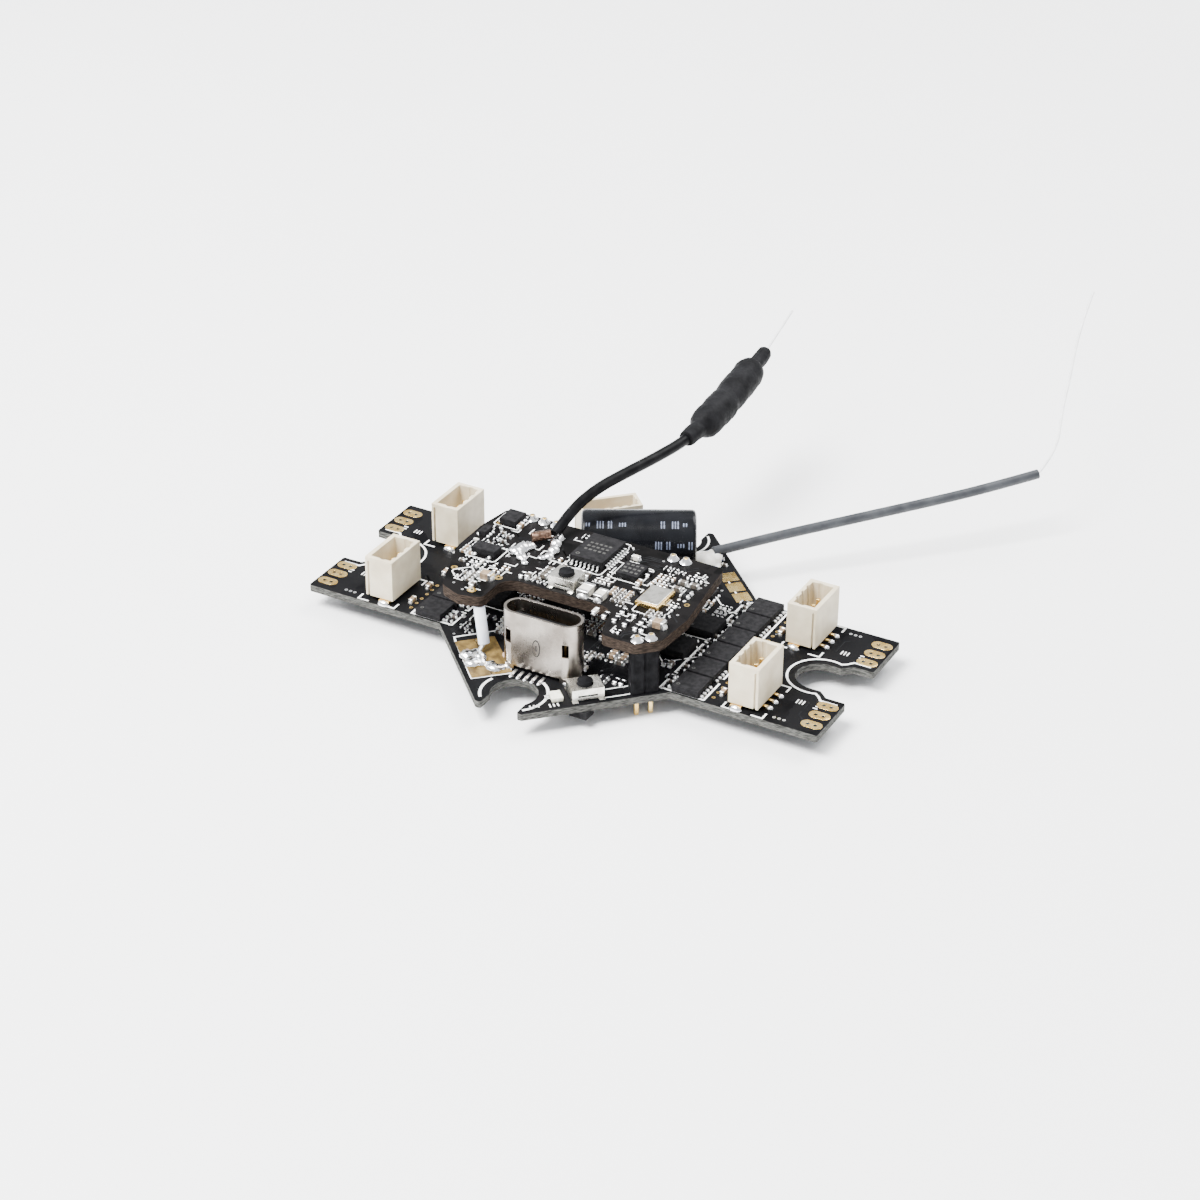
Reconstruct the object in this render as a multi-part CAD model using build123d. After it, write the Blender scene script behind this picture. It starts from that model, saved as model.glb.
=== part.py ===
from build123d import *
import math
import os

# Flight controller board of a small ducted quadcopter: one main board with four motor sockets and
# a video transmitter board stacked on it. Millimetres. +Z is up, the origin is on the surface that
# the pin tails stand on, below the main board's centre. +X runs along the right arm, and the USB
# socket is at the -Y side.

# ---- Driving dimensions ----
TAIL_DROP = 1.9
BOARD_THICK = 0.8
BOARD_UNDER = TAIL_DROP
BOARD_TOP = BOARD_UNDER + BOARD_THICK

STACK_SPACING = 25.5
ROOT_TWO = math.sqrt(2)
ARM_REACH = 30.2
ARM_HALF = 10.2
DIAMOND = 23.9
HORN_REACH = 21.2

NOTCH_RADIUS = 2.5
END_NOTCH_Y = STACK_SPACING / ROOT_TWO
END_MOUTH_HALF = 2.1
SIDE_NOTCH_X = 25.7
SIDE_MOUTH_START = 27.0
SIDE_MOUTH_HALF = 3.4
OUTLINE_CORNER = 0.25

VIDEO_GAP = 4.9
VIDEO_THICK = 1.2
VIDEO_UNDER = BOARD_TOP + VIDEO_GAP
VIDEO_TOP = VIDEO_UNDER + VIDEO_THICK

MOTOR_SOCKET_X = 21.63
MOTOR_ROW_Y = 6.7
MOTOR_PAD_X = 28.85
MOTOR_PAD_PITCH = 1.9
MOTOR_PAD_LENGTH = 2.3
MOTOR_PAD_WIDTH = 1.3
MOTOR_PAD_HOLE = 0.2
MOTOR_PAD_HOLE_OFFSET = 0.42
PAD_THICK = 0.05

USB_X = 0.4
USB_Y = -12.64
USB_WIDTH = 8.94
USB_DEPTH = 3.16
USB_WALL = 0.3
USB_TOP = BOARD_TOP + 6.78

HEADER_PITCH = 1.5
HEADER_DEPTH = 1.4
PIN_SIDE = 0.45
PIN_HOLE_RADIUS = 0.38

CAN_RADIUS = 3.15
CAN_LENGTH = 12.5
CAN_SHOULDER = 0.45
SLEEVE_THICK = 0.12
CAN_WALL = 0.25
CAN_ANGLE = 28.7
CAN_FOOT = (-7.0, 8.35)
CAN_HEIGHT = BOARD_TOP + CAN_RADIUS
LEAD_RADIUS = 0.25
LEAD_SPACING = 2.5
LEAD_REACH = 1.6

SWITCH_LENGTH = 3.4
SWITCH_WIDTH = 2.5
SWITCH_TRAVEL = 0.25
SWITCH_BASE_HEIGHT = 1.2
SWITCH_COVER_THICK = 0.15
SWITCH_POCKET_RADIUS = 1.03
SWITCH_STEM_RADIUS = 0.81
SWITCH_STEM_RISE = 0.4
SWITCH_GAP = 0.06

FLAT = (Align.CENTER, Align.CENTER, Align.MIN)

os.makedirs("parts", exist_ok=True)


# ---- Helpers ----
def block(x, y, z, length, width, height):
    """A box that stands on height z with its plan centre at x, y."""
    return Pos(x, y, z) * Box(length, width, height, align=FLAT)


def round_bar(x, y, z, radius, height):
    """An upright cylinder that stands on height z."""
    return Pos(x, y, z) * Cylinder(radius, height, align=FLAT)


def group(solids):
    """Separate solids kept in one node."""
    return Compound(children=list(solids))


def save(name, shape):
    """One STEP file for one node."""
    export_step(shape, f"parts/{name}.step")


def on_diagonal(outward, along, side_x, side_y):
    """Plan point at a distance from the centre square to a slanted edge, and along that edge."""
    x = side_x * (outward + along) / ROOT_TWO
    y = side_y * (outward - along) / ROOT_TWO
    return x, y


def rod(start, end, radius):
    """A straight round bar between two points."""
    line = Line(start, end)
    return sweep(Plane(origin=line @ 0, z_dir=line % 0) * Circle(radius), path=line)


def tube_along(path, radius):
    """A round bar along a path."""
    return sweep(Plane(origin=path @ 0, z_dir=path % 0) * Circle(radius), path=path)


def cord_path(name, points):
    """Straight runs joined by tangent arcs, each arc as large as its two runs allow."""
    radii = []
    for before, corner, after in zip(points, points[1:], points[2:]):
        run_in = Vector(*corner) - Vector(*before)
        run_out = Vector(*after) - Vector(*corner)
        turn = math.radians(run_in.get_angle(run_out))
        radii.append(0.45 * min(run_in.length, run_out.length) / math.tan(turn / 2))
    path = FilletPolyline(*points, radius=radii)
    print(name, "length", round(path.length, 2), "radii", [round(radius, 1) for radius in radii])
    return path


def cord_tube(name, points, radius):
    """A cord's tube, with its volume compared with its section times its length."""
    path = cord_path(name, points)
    tube = tube_along(path, radius)
    expected = math.pi * radius ** 2 * path.length
    print(name, "volume ratio", round(tube.volume / expected, 4))
    return tube


# ---- Pin headers between the two boards ----
# Each header: plan centre, direction of its row in degrees, number of pins.
HEADERS = [
    (*on_diagonal(15.9, 0, 1, -1), 45, 2),
    (-9.5, 4.72, 0, 3),
    (7.0, 4.55, 0, 2),
]


def header_pin_places(header):
    """Plan points of one header's pins."""
    x, y, angle, count = header
    turn = math.radians(angle)
    offsets = [(index - (count - 1) / 2) * HEADER_PITCH for index in range(count)]
    return [(x + offset * math.cos(turn), y + offset * math.sin(turn)) for offset in offsets]


def header_pin(x, y, angle):
    """A square pin from its cut tail below the main board to its end above the video board."""
    return Pos(x, y, 0) * Rot(0, 0, angle) * Box(PIN_SIDE, PIN_SIDE, VIDEO_TOP + 0.55, align=FLAT)


def header_housing(header):
    """A black strip of one block for each pin, with chamfered corners between the blocks."""
    x, y, angle, count = header
    section = Polygon(
        (-HEADER_PITCH / 2, -HEADER_DEPTH / 2 + 0.2),
        (-HEADER_PITCH / 2 + 0.2, -HEADER_DEPTH / 2),
        (HEADER_PITCH / 2 - 0.2, -HEADER_DEPTH / 2),
        (HEADER_PITCH / 2, -HEADER_DEPTH / 2 + 0.2),
        (HEADER_PITCH / 2, HEADER_DEPTH / 2 - 0.2),
        (HEADER_PITCH / 2 - 0.2, HEADER_DEPTH / 2),
        (-HEADER_PITCH / 2 + 0.2, HEADER_DEPTH / 2),
        (-HEADER_PITCH / 2, HEADER_DEPTH / 2 - 0.2),
        align=None,
    )
    strip = Part()
    for pin_x, pin_y in header_pin_places(header):
        strip += Pos(pin_x, pin_y, BOARD_TOP) * Rot(0, 0, angle) * extrude(section, VIDEO_GAP)
    for pin_x, pin_y in header_pin_places(header):
        strip -= header_pin(pin_x, pin_y, angle)
    return strip


def header_fillet(x, y, angle, z, direction):
    """A solder cone round a pin, on the underside of the main board or on top of the video board."""
    cone = Cone(0.62, 0.34, 0.42, align=FLAT)
    if direction < 0:
        cone = Rot(180, 0, 0) * cone
    return Pos(x, y, z) * cone - header_pin(x, y, angle)


def make_headers():
    pins = []
    fillets = []
    for header in HEADERS:
        angle = header[2]
        for x, y in header_pin_places(header):
            pins.append(header_pin(x, y, angle))
            fillets.append(header_fillet(x, y, angle, BOARD_UNDER, -1))
            fillets.append(header_fillet(x, y, angle, VIDEO_TOP, 1))
    save("header_housings", group(header_housing(header) for header in HEADERS))
    save("header_pins", group(pins))
    save("header_solder", group(fillets))


# ---- Filter capacitor lying on the main board behind the video board ----
CAN_TURN = math.radians(CAN_ANGLE)
CAN_AXIS = Vector(math.cos(CAN_TURN), math.sin(CAN_TURN), 0)
CAN_SIDE = Vector(-math.sin(CAN_TURN), math.cos(CAN_TURN), 0)
CAN_START = Vector(*CAN_FOOT, CAN_HEIGHT)
CAN_PLANE = Plane(origin=CAN_START, x_dir=(0, 0, 1), z_dir=CAN_AXIS)


def lead_foot(side):
    """Plan point where a capacitor lead goes down through the main board."""
    return CAN_START - CAN_AXIS * LEAD_REACH + CAN_SIDE * (side * LEAD_SPACING / 2)


def along_can(start, radius, length):
    """A cylinder on the capacitor's axis."""
    return CAN_PLANE * Pos(0, 0, start) * Cylinder(radius, length, align=FLAT)


def shouldered_can(start, radius, length, shoulder):
    """A cylinder on the capacitor's axis with two slanted shoulders at each end."""
    end = start + length
    profile = Polygon(
        (0, start),
        (radius - shoulder, start),
        (radius - 0.3 * shoulder, start + 0.3 * shoulder),
        (radius, start + shoulder),
        (radius, end - shoulder),
        (radius - 0.3 * shoulder, end - 0.3 * shoulder),
        (radius - shoulder, end),
        (0, end),
        align=None,
    )
    return CAN_PLANE * revolve(Plane.XZ * profile, Axis.Z)


def capacitor_lead(side):
    """A round lead out of the winding, through the bung, bent down through the board."""
    inner = CAN_START + CAN_AXIS * 1.9 + CAN_SIDE * (side * LEAD_SPACING / 2)
    foot = lead_foot(side)
    corner = Vector(foot.X, foot.Y, CAN_HEIGHT)
    end = Vector(foot.X, foot.Y, 0.2)
    return tube_along(FilletPolyline(inner, corner, end, radius=0.7), LEAD_RADIUS)


def make_capacitor():
    leads = [capacitor_lead(side) for side in (-1, 1)]
    can_radius = CAN_RADIUS - SLEEVE_THICK
    can_length = CAN_LENGTH - 2 * SLEEVE_THICK
    can_end = CAN_LENGTH - SLEEVE_THICK
    bore = can_radius - CAN_WALL
    outside = shouldered_can(SLEEVE_THICK, can_radius, can_length, CAN_SHOULDER)
    sleeve = shouldered_can(0, CAN_RADIUS, CAN_LENGTH, CAN_SHOULDER)
    sleeve -= outside
    sleeve -= along_can(-0.1, CAN_RADIUS - 0.85, CAN_LENGTH + 0.2)
    can = outside - along_can(0, bore, can_end - CAN_SHOULDER)
    vent = block(0, 0, -0.06, 2 * CAN_RADIUS - 2.2, 0.16, 0.2)
    for turn in (0, 90):
        can -= CAN_PLANE * Pos(0, 0, can_end) * Rot(0, 0, turn) * vent
    bung = along_can(SLEEVE_THICK, bore, 1.9 - SLEEVE_THICK) & outside
    for lead in leads:
        bung -= lead
    winding = along_can(1.9, bore - 0.13, can_end - CAN_SHOULDER - 2.1)
    save("capacitor_sleeve", sleeve)
    save("capacitor_can", can)
    save("capacitor_bung", bung)
    save("capacitor_winding", winding)
    save("capacitor_leads", group(leads))


# ---- Main board ----
def motor_pad_places():
    """Plan points of the three motor pads at the end of each arm."""
    rows = [row * MOTOR_ROW_Y + step * MOTOR_PAD_PITCH for row in (-1, 1) for step in (-1, 0, 1)]
    return [(side * MOTOR_PAD_X, y) for side in (-1, 1) for y in rows]


def pad_holes(height):
    """Two plated holes in every motor pad."""
    holes = []
    for x, y in motor_pad_places():
        for offset in (-MOTOR_PAD_HOLE_OFFSET, MOTOR_PAD_HOLE_OFFSET):
            holes.append(round_bar(x + offset, y, BOARD_UNDER - 1, MOTOR_PAD_HOLE, height + 2))
    return holes


def main_outline():
    """A diamond with two arms, two end notches between horns and two side notches in the arms."""
    corner_x = DIAMOND - ARM_HALF
    horn_x = DIAMOND - HORN_REACH
    quarter = [(ARM_REACH, ARM_HALF), (corner_x, ARM_HALF), (horn_x, HORN_REACH)]
    right_back = quarter
    left_back = [(-x, y) for x, y in reversed(quarter)]
    left_front = [(-x, -y) for x, y in quarter]
    right_front = [(x, -y) for x, y in reversed(quarter)]
    outline = Polygon(*right_back, *left_back, *left_front, *right_front, align=None)
    for end in (-1, 1):
        outline -= Pos(0, end * END_NOTCH_Y) * Circle(NOTCH_RADIUS)
        outline -= Pos(0, end * (END_NOTCH_Y + 5)) * Rectangle(2 * END_MOUTH_HALF, 10)
    for side in (-1, 1):
        outline -= Pos(side * SIDE_NOTCH_X, 0) * Circle(NOTCH_RADIUS)
        mouth = Polygon(
            (SIDE_NOTCH_X, -NOTCH_RADIUS),
            (SIDE_MOUTH_START, -NOTCH_RADIUS),
            (SIDE_MOUTH_START + 1, -SIDE_MOUTH_HALF),
            (ARM_REACH + 1, -SIDE_MOUTH_HALF),
            (ARM_REACH + 1, SIDE_MOUTH_HALF),
            (SIDE_MOUTH_START + 1, SIDE_MOUTH_HALF),
            (SIDE_MOUTH_START, NOTCH_RADIUS),
            (SIDE_NOTCH_X, NOTCH_RADIUS),
            align=None,
        )
        outline -= Rot(0, 0, 0 if side > 0 else 180) * mouth
    return outline


def make_main_board():
    board = Pos(0, 0, BOARD_UNDER) * extrude(main_outline(), BOARD_THICK)
    uprights = [
        edge
        for edge in board.edges().filter_by(Axis.Z)
        if abs(edge.center().X) > ARM_REACH - 0.1 or abs(edge.center().Y) > HORN_REACH - 0.1
    ]
    board = fillet(uprights, OUTLINE_CORNER)
    for header in HEADERS:
        for x, y in header_pin_places(header):
            board -= round_bar(x, y, BOARD_UNDER - 1, PIN_HOLE_RADIUS, BOARD_THICK + 2)
    for side in (-1, 1):
        foot = lead_foot(side)
        board -= round_bar(foot.X, foot.Y, BOARD_UNDER - 1, LEAD_RADIUS + 0.08, BOARD_THICK + 2)
    for hole in pad_holes(BOARD_THICK):
        board -= hole
    save("main_board", board)


def make_motor_pads():
    """Twelve oval gold pads on top of the arm ends."""
    oval = extrude(SlotOverall(MOTOR_PAD_LENGTH, MOTOR_PAD_WIDTH), PAD_THICK)
    hole = round_bar(0, 0, -1, MOTOR_PAD_HOLE, 2)
    for offset in (-MOTOR_PAD_HOLE_OFFSET, MOTOR_PAD_HOLE_OFFSET):
        oval -= Pos(offset, 0, 0) * hole
    save("motor_pads", group(Pos(x, y, BOARD_TOP) * oval for x, y in motor_pad_places()))


# ---- Battery pads, jumper wire and their solder ----
BATTERY_PAD_LENGTH = 7.4
BATTERY_PAD_WIDTH = 2.1
BATTERY_PAD_ALONG = -5.3
BATTERY_PADS_OUT = [15.2, 13.0]
BATTERY_BLOB_ALONG = -6.3
JUMPER_TOP = (-7.9, -11.7, VIDEO_UNDER)
JUMPER_FOOT = (-6.85, -12.5, BOARD_TOP + 0.85)
JUMPER_RADIUS = 0.6
CONDUCTOR_RADIUS = 0.25


def left_front(outward, along):
    """Plan point in the left front quarter of the diamond, along running forward."""
    x = -(outward + along) / ROOT_TWO
    y = -(outward - along) / ROOT_TWO
    return x, y


def make_battery_terminals():
    pads = []
    blobs = []
    wire_end = (*left_front(BATTERY_PADS_OUT[0] - 0.3, BATTERY_BLOB_ALONG + 0.9), BOARD_TOP + 0.35)
    conductor = tube_along(
        FilletPolyline(JUMPER_TOP, JUMPER_FOOT, wire_end, radius=0.6), CONDUCTOR_RADIUS
    )
    for outward in BATTERY_PADS_OUT:
        x, y = left_front(outward, BATTERY_PAD_ALONG)
        pad = Box(BATTERY_PAD_LENGTH, BATTERY_PAD_WIDTH, PAD_THICK, align=FLAT)
        pads.append(Pos(x, y, BOARD_TOP) * Rot(0, 0, -45) * pad)
    for outward, radius in zip(BATTERY_PADS_OUT, (1.15, 1.0)):
        x, y = left_front(outward, BATTERY_BLOB_ALONG)
        dome = Pos(0, 0, -0.35) * Sphere(radius + 0.1)
        dome &= block(0, 0, 0, 4, 4, 3)
        blobs.append(Pos(x, y, BOARD_TOP + PAD_THICK) * dome - conductor)
    insulation = rod(JUMPER_TOP, JUMPER_FOOT, JUMPER_RADIUS)
    insulation &= block(0, 0, JUMPER_FOOT[2], 60, 60, VIDEO_UNDER - JUMPER_FOOT[2] - 0.1)
    insulation -= conductor
    conductor &= block(0, 0, BOARD_TOP + PAD_THICK, 60, 60, VIDEO_GAP - PAD_THICK)
    save("battery_pads", group(pads))
    save("battery_solder", group(blobs))
    save("jumper_conductor", conductor)
    save("jumper_insulation", insulation)


def make_rear_pads():
    """Three square gold pads along the right back edge."""
    pads = []
    for index in range(3):
        x, y = on_diagonal(15.55, -3.5 + index * 2.22, 1, 1)
        pads.append(Pos(x, y, BOARD_TOP) * Rot(0, 0, -45) * Box(1.8, 1.8, PAD_THICK, align=FLAT))
    save("rear_pads", group(pads))


# ---- Video board ----
VIDEO_OUTLINE = [
    ((-14.4, 5.4), 0.8),
    ((-15.1, 1.0), 4.0),
    ((-15.0, -4.4), 4.0),
    ((-12.2, -11.9), 1.2),
    ((-9.6, -12.9), 1.4),
    ((-7.2, -12.2), 0.7),
    ((-7.2, -7.5), 1.8),
    ((5.4, -7.5), 1.8),
    ((7.0, -12.6), 0.8),
    ((10.9, -12.6), 1.0),
    ((12.9, -10.6), 1.0),
    ((13.3, -5.7), 3.0),
    ((12.5, 0.0), 5.0),
    ((11.9, 5.4), 0.8),
]


def make_video_board():
    corners = [corner for corner, radius in VIDEO_OUTLINE]
    radii = [radius for corner, radius in VIDEO_OUTLINE]
    outline = make_face(FilletPolyline(*corners, radius=radii, close=True))
    board = Pos(0, 0, VIDEO_UNDER) * extrude(outline, VIDEO_THICK, dir=(0, 0, 1))
    for header in HEADERS:
        for x, y in header_pin_places(header):
            board -= round_bar(x, y, VIDEO_UNDER - 1, PIN_HOLE_RADIUS, VIDEO_THICK + 2)
    save("video_board", board)


# ---- Upright USB socket ----
def make_usb():
    middle = Pos(USB_X, USB_Y, 0)
    shell_foot = BOARD_TOP + 0.5
    base_top = BOARD_TOP + 2.2
    outside = SlotOverall(USB_WIDTH, USB_DEPTH)
    inside = SlotOverall(USB_WIDTH - 2 * USB_WALL, USB_DEPTH - 2 * USB_WALL)
    shell = Pos(0, 0, shell_foot) * extrude(outside, USB_TOP - shell_foot)
    for x in (-3.2, 3.2):
        for y in (-1, 1):
            leg_y = y * (USB_DEPTH - USB_WALL) / 2
            shell += block(x, leg_y, BOARD_TOP, 1.0, USB_WALL, 0.6)
    shell -= Pos(0, 0, BOARD_TOP - 1) * extrude(inside, 10)
    for x in (-3.35, 3.35):
        shell -= block(x, -USB_DEPTH / 2, BOARD_TOP + 3.1, 0.7, 1.2, 1.5)
    base = Pos(0, 0, BOARD_TOP) * extrude(inside, base_top - BOARD_TOP)
    tongue = block(0, 0, base_top, 6.7, 0.7, USB_TOP - 0.9 - base_top)
    contacts = []
    for index in range(12):
        x = (index - 5.5) * 0.5
        for side in (-1, 1):
            contacts.append(block(x, side * 0.385, base_top, 0.26, 0.07, 2.9))
    tails = []
    for index in range(5):
        tails.append(block((index - 2) * 0.82 - 0.65, -2.1, BOARD_TOP, 0.34, 1.02, 0.18))
    save("usb_shell", middle * shell)
    save("usb_base", middle * base)
    save("usb_tongue", middle * tongue)
    save("usb_contacts", group(middle * contact for contact in contacts))
    save("usb_tails", group(middle * tail for tail in tails))


# ---- Wire-to-board sockets ----
def wire_socket(count, pitch, width, length, height, wall, lift):
    """A vertical socket on its own board spot: +X is the side that its contact feet leave by.

    Returns the housing and the contacts with the two end anchors.
    """
    floor = 1.0
    housing = block(0, 0, lift, width, length, height - lift)
    housing -= block(0, 0, lift + floor, width - 2 * wall, length - 2 * wall, height)
    for end in (-1, 1):
        groove_y = end * (length / 2 - wall)
        housing -= block(-width * 0.08, groove_y, lift + floor, 0.5, 0.3, height)
        slit = block(width / 2 - wall + 0.1, end * length / 2, lift, 0.18, wall, height - lift - 0.5)
        housing -= slit
    contacts = []
    for index in range(count):
        y = (index - (count - 1) / 2) * pitch
        housing -= block(-width / 2 + wall, y, lift + floor, 0.36, pitch * 0.42, height)
        post = block(0, y, 0, 0.36, 0.36, height - 1.2)
        foot = block(width / 4 + 0.28, y, 0, width / 2 + 0.56, 0.36, 0.22)
        contact = post + foot
        housing -= contact
        contacts.append(contact)
    for end in (-1, 1):
        contacts.append(block(-width * 0.2, end * (length / 2 - 0.15), 0, 1.2, 0.9, lift))
    return housing, contacts


def make_sockets():
    """Four motor sockets with their feet towards the arm tips, and the camera socket."""
    housing, contacts = wire_socket(3, 1.25, 3.38, 5.69, 5.15, 0.5, 0.43)
    motor_contacts = []
    for side_name, side in (("left", -1), ("right", 1)):
        for end_name, end in (("front", -1), ("rear", 1)):
            spot = Pos(side * MOTOR_SOCKET_X, end * MOTOR_ROW_Y, BOARD_TOP)
            spot *= Rot(0, 0, 0 if side > 0 else 180)
            save(f"motor_socket_{end_name}_{side_name}", spot * housing)
            motor_contacts += [spot * contact for contact in contacts]
    save("motor_socket_pins", group(motor_contacts))
    housing, contacts = wire_socket(5, 1.0, 3.0, 7.0, 4.25, 0.4, 0.3)
    x, y = on_diagonal(15.67, -5.5, -1, 1)
    spot = Pos(x, y, BOARD_TOP) * Rot(0, 0, 135)
    save("camera_socket", spot * housing)
    save("camera_socket_pins", group(spot * contact for contact in contacts))


# ---- Push switches ----
def push_switch(length, width):
    """A low tact switch on its own board spot: base, cover, plunger and dome."""
    pocket_floor = 0.35
    dome_top = pocket_floor + SWITCH_TRAVEL + 0.2
    cover_top = SWITCH_BASE_HEIGHT + SWITCH_COVER_THICK
    inner_length = length - 2 * SWITCH_COVER_THICK
    inner_width = width - 2 * SWITCH_COVER_THICK
    inside = block(0, 0, -1, inner_length, inner_width, SWITCH_BASE_HEIGHT + 1)
    base = block(0, 0, 0, inner_length, inner_width, SWITCH_BASE_HEIGHT)
    base -= round_bar(0, 0, pocket_floor, SWITCH_POCKET_RADIUS, 2)
    cover = block(0, 0, 0.1, length, width, cover_top - 0.1)
    cover -= round_bar(0, 0, 0, SWITCH_STEM_RADIUS + SWITCH_GAP, 3)
    cover -= block(0, 0, 0.45, length - 1.3, width + 1, 0.2)
    for x in (-1, 1):
        for y in (-1, 1):
            foot_x = x * (length / 2 - 0.3)
            foot_y = y * (width / 2 + 0.1)
            cover += block(foot_x, foot_y, 0, 0.6, 0.5, 0.13)
    cover -= inside
    flange_radius = SWITCH_POCKET_RADIUS - SWITCH_GAP
    plunger = round_bar(0, 0, dome_top, flange_radius, SWITCH_BASE_HEIGHT - dome_top - 0.03)
    plunger += round_bar(0, 0, dome_top, SWITCH_STEM_RADIUS, cover_top + SWITCH_STEM_RISE - dome_top)
    dome_radius = SWITCH_POCKET_RADIUS - 0.08
    rise = dome_top - pocket_floor
    ball = (dome_radius ** 2 + rise ** 2) / (2 * rise)
    dome = Pos(0, 0, dome_top - ball) * (Sphere(ball) - Sphere(ball - 0.1))
    dome &= block(0, 0, pocket_floor, 4, 4, 2)
    return base, cover, plunger, dome


def make_switches():
    x, y = on_diagonal(14.95, -5.9, 1, -1)
    spots = {
        "boot_switch": (Pos(x, y, BOARD_TOP) * Rot(0, 0, 45), SWITCH_LENGTH, SWITCH_WIDTH),
        "video_switch": (Pos(-0.9, -5.62, VIDEO_TOP), SWITCH_LENGTH - 0.4, SWITCH_WIDTH),
    }
    for name, (spot, length, width) in spots.items():
        pieces = push_switch(length, width)
        for piece_name, piece in zip(("base", "cover", "plunger", "dome"), pieces):
            save(f"{name}_{piece_name}", spot * piece)


# ---- Chips ----
MOSFET_SIDE = 3.1
MOSFET_PITCH = 3.39
MOSFET_LEAD_PITCH = 0.65
MOSFET_X = 15.3
MOSFET_HEIGHT = 0.85


def make_mosfets():
    """Six power transistors across each arm, with their lead frames showing on two sides."""
    body = block(0, 0, 0.06, MOSFET_SIDE, MOSFET_SIDE, MOSFET_HEIGHT - 0.06)
    lead = block(0, 0, 0, 0.44, 0.34, 0.2)
    frame = block(0, 0, 0, MOSFET_SIDE - 0.9, MOSFET_SIDE - 0.5, 0.06)
    lead_x = MOSFET_SIDE / 2 + 0.01
    lead_rows = [(side * lead_x, (i - 1.5) * MOSFET_LEAD_PITCH) for side in (-1, 1) for i in range(4)]
    for x, y in lead_rows:
        body -= Pos(x, y, 0) * lead
    bodies = []
    leads = []
    for side in (-1, 1):
        for index in range(6):
            spot = Pos(side * MOSFET_X, (index - 2.5) * MOSFET_PITCH, BOARD_TOP)
            bodies.append(spot * body)
            leads.append(spot * frame)
            leads += [spot * Pos(x, y, 0) * lead for x, y in lead_rows]
    save("mosfets", group(bodies))
    save("mosfet_leads", group(leads))


def flat_chip(x, y, z, length, width, height, hang=1):
    """A leadless chip on top of a board, or hanging under it with hang of -1."""
    bottom = z if hang > 0 else z - height
    return block(x, y, bottom, length, width, height)


def make_chips():
    drivers = [(11.2, 2.7), (10.4, -2.4), (-11.2, -2.7), (-10.4, 1.9)]
    save("motor_drivers", group(flat_chip(x, y, BOARD_TOP, 3.3, 3.3, 0.8) for x, y in drivers))
    save("flight_processor", flat_chip(0, -1.5, BOARD_UNDER, 7.0, 7.0, 0.9, -1))
    save("gyro_chip", flat_chip(-7.0, -1.5, BOARD_UNDER, 3.0, 2.5, 0.9, -1))
    save("receiver_chip", flat_chip(7.4, 8.4, BOARD_UNDER, 4.0, 4.0, 0.8, -1))
    inductors = [block(6.75, -16.1, BOARD_UNDER - 0.8, 2.0, 1.6, 0.8)]
    inductors.append(block(1.0, 9.6, BOARD_UNDER - 1.2, 3.0, 3.0, 1.2))
    save("power_inductors", group(inductors))
    save("transmitter_chip", flat_chip(3.95, -0.3, VIDEO_TOP, 2.6, 2.6, 0.6))
    small = [(-12.6, 3.3, 2.0, 2.4), (-11.6, -3.9, 2.9, 1.6)]
    small_chips = [flat_chip(x, y, VIDEO_TOP, length, width, 0.75) for x, y, length, width in small]
    save("regulators", group(small_chips))
    led_x, led_y = on_diagonal(14.95, -8.95, 1, -1)
    led = Pos(led_x, led_y, BOARD_TOP) * Rot(0, 0, 45) * Box(1.2, 1.5, 0.5, align=FLAT)
    save("status_led", led)


OSD_X = -1.0
OSD_Y = 1.3
OSD_LENGTH = 3.9
OSD_WIDTH = 5.2


def make_osd_chip():
    """The video overlay chip, a flat body with bent legs along all four sides."""
    spot = Pos(OSD_X, OSD_Y, VIDEO_TOP)
    leg = block(0.12, 0, 0.35, 0.34, 0.2, 0.12) + block(0.29, 0, 0, 0.12, 0.2, 0.47)
    leg += block(0.44, 0, 0, 0.42, 0.2, 0.12)
    legs = []
    rows = [(0, OSD_LENGTH, 9), (90, OSD_WIDTH, 7), (180, OSD_LENGTH, 9), (270, OSD_WIDTH, 7)]
    for side, reach, count in rows:
        for index in range(count):
            y = (index - (count - 1) / 2) * 0.5
            legs.append(spot * Rot(0, 0, side) * Pos(reach / 2, y, 0) * leg)
    body = spot * block(0, 0, 0.08, OSD_LENGTH, OSD_WIDTH, 0.87)
    for one_leg in legs:
        body -= one_leg
    save("osd_chip", body)
    save("osd_chip_legs", group(legs))


def make_crystal():
    """Metal-lidded crystal in a ceramic tray."""
    spot = Pos(8.6, -3.95, VIDEO_TOP)
    save("crystal_base", spot * block(0, 0, 0, 2.7, 3.8, 0.55))
    lid = spot * block(0, 0, 0.55, 2.4, 3.5, 0.15)
    save("crystal_lid", lid)


# Plan centre, length and width of the large ceramic capacitors on the video board.
VIDEO_CAPACITORS = [
    (-8.9, -8.6, 1.6, 0.9),
    (1.75, -6.2, 1.3, 1.9),
    (3.55, -6.35, 1.0, 1.6),
    (11.3, -8.4, 1.6, 0.9),
]


def make_small_parts():
    """Ceramic capacitors and resistors: rows beside the transistors and a few on the video board."""
    capacitors = []
    resistors = []
    for side in (-1, 1):
        for index in range(6):
            y = (index - 2.5) * MOSFET_PITCH + 0.7
            capacitors.append(block(side * 18.6, y, BOARD_TOP, 0.5, 1.0, 0.5))
            if abs(y) > 6:
                resistors.append(block(side * 12.6, y, BOARD_TOP, 1.0, 0.5, 0.35))
    for x, y, length, width in VIDEO_CAPACITORS:
        capacitors.append(block(x, y, VIDEO_TOP, length, width, 0.8))
    for index in range(5):
        resistors.append(block(4.4 + 1.3 * index, -9.0 - 0.2 * index, VIDEO_TOP, 0.5, 1.0, 0.35))
    save("ceramic_capacitors", group(capacitors))
    save("chip_resistors", group(resistors))


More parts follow.
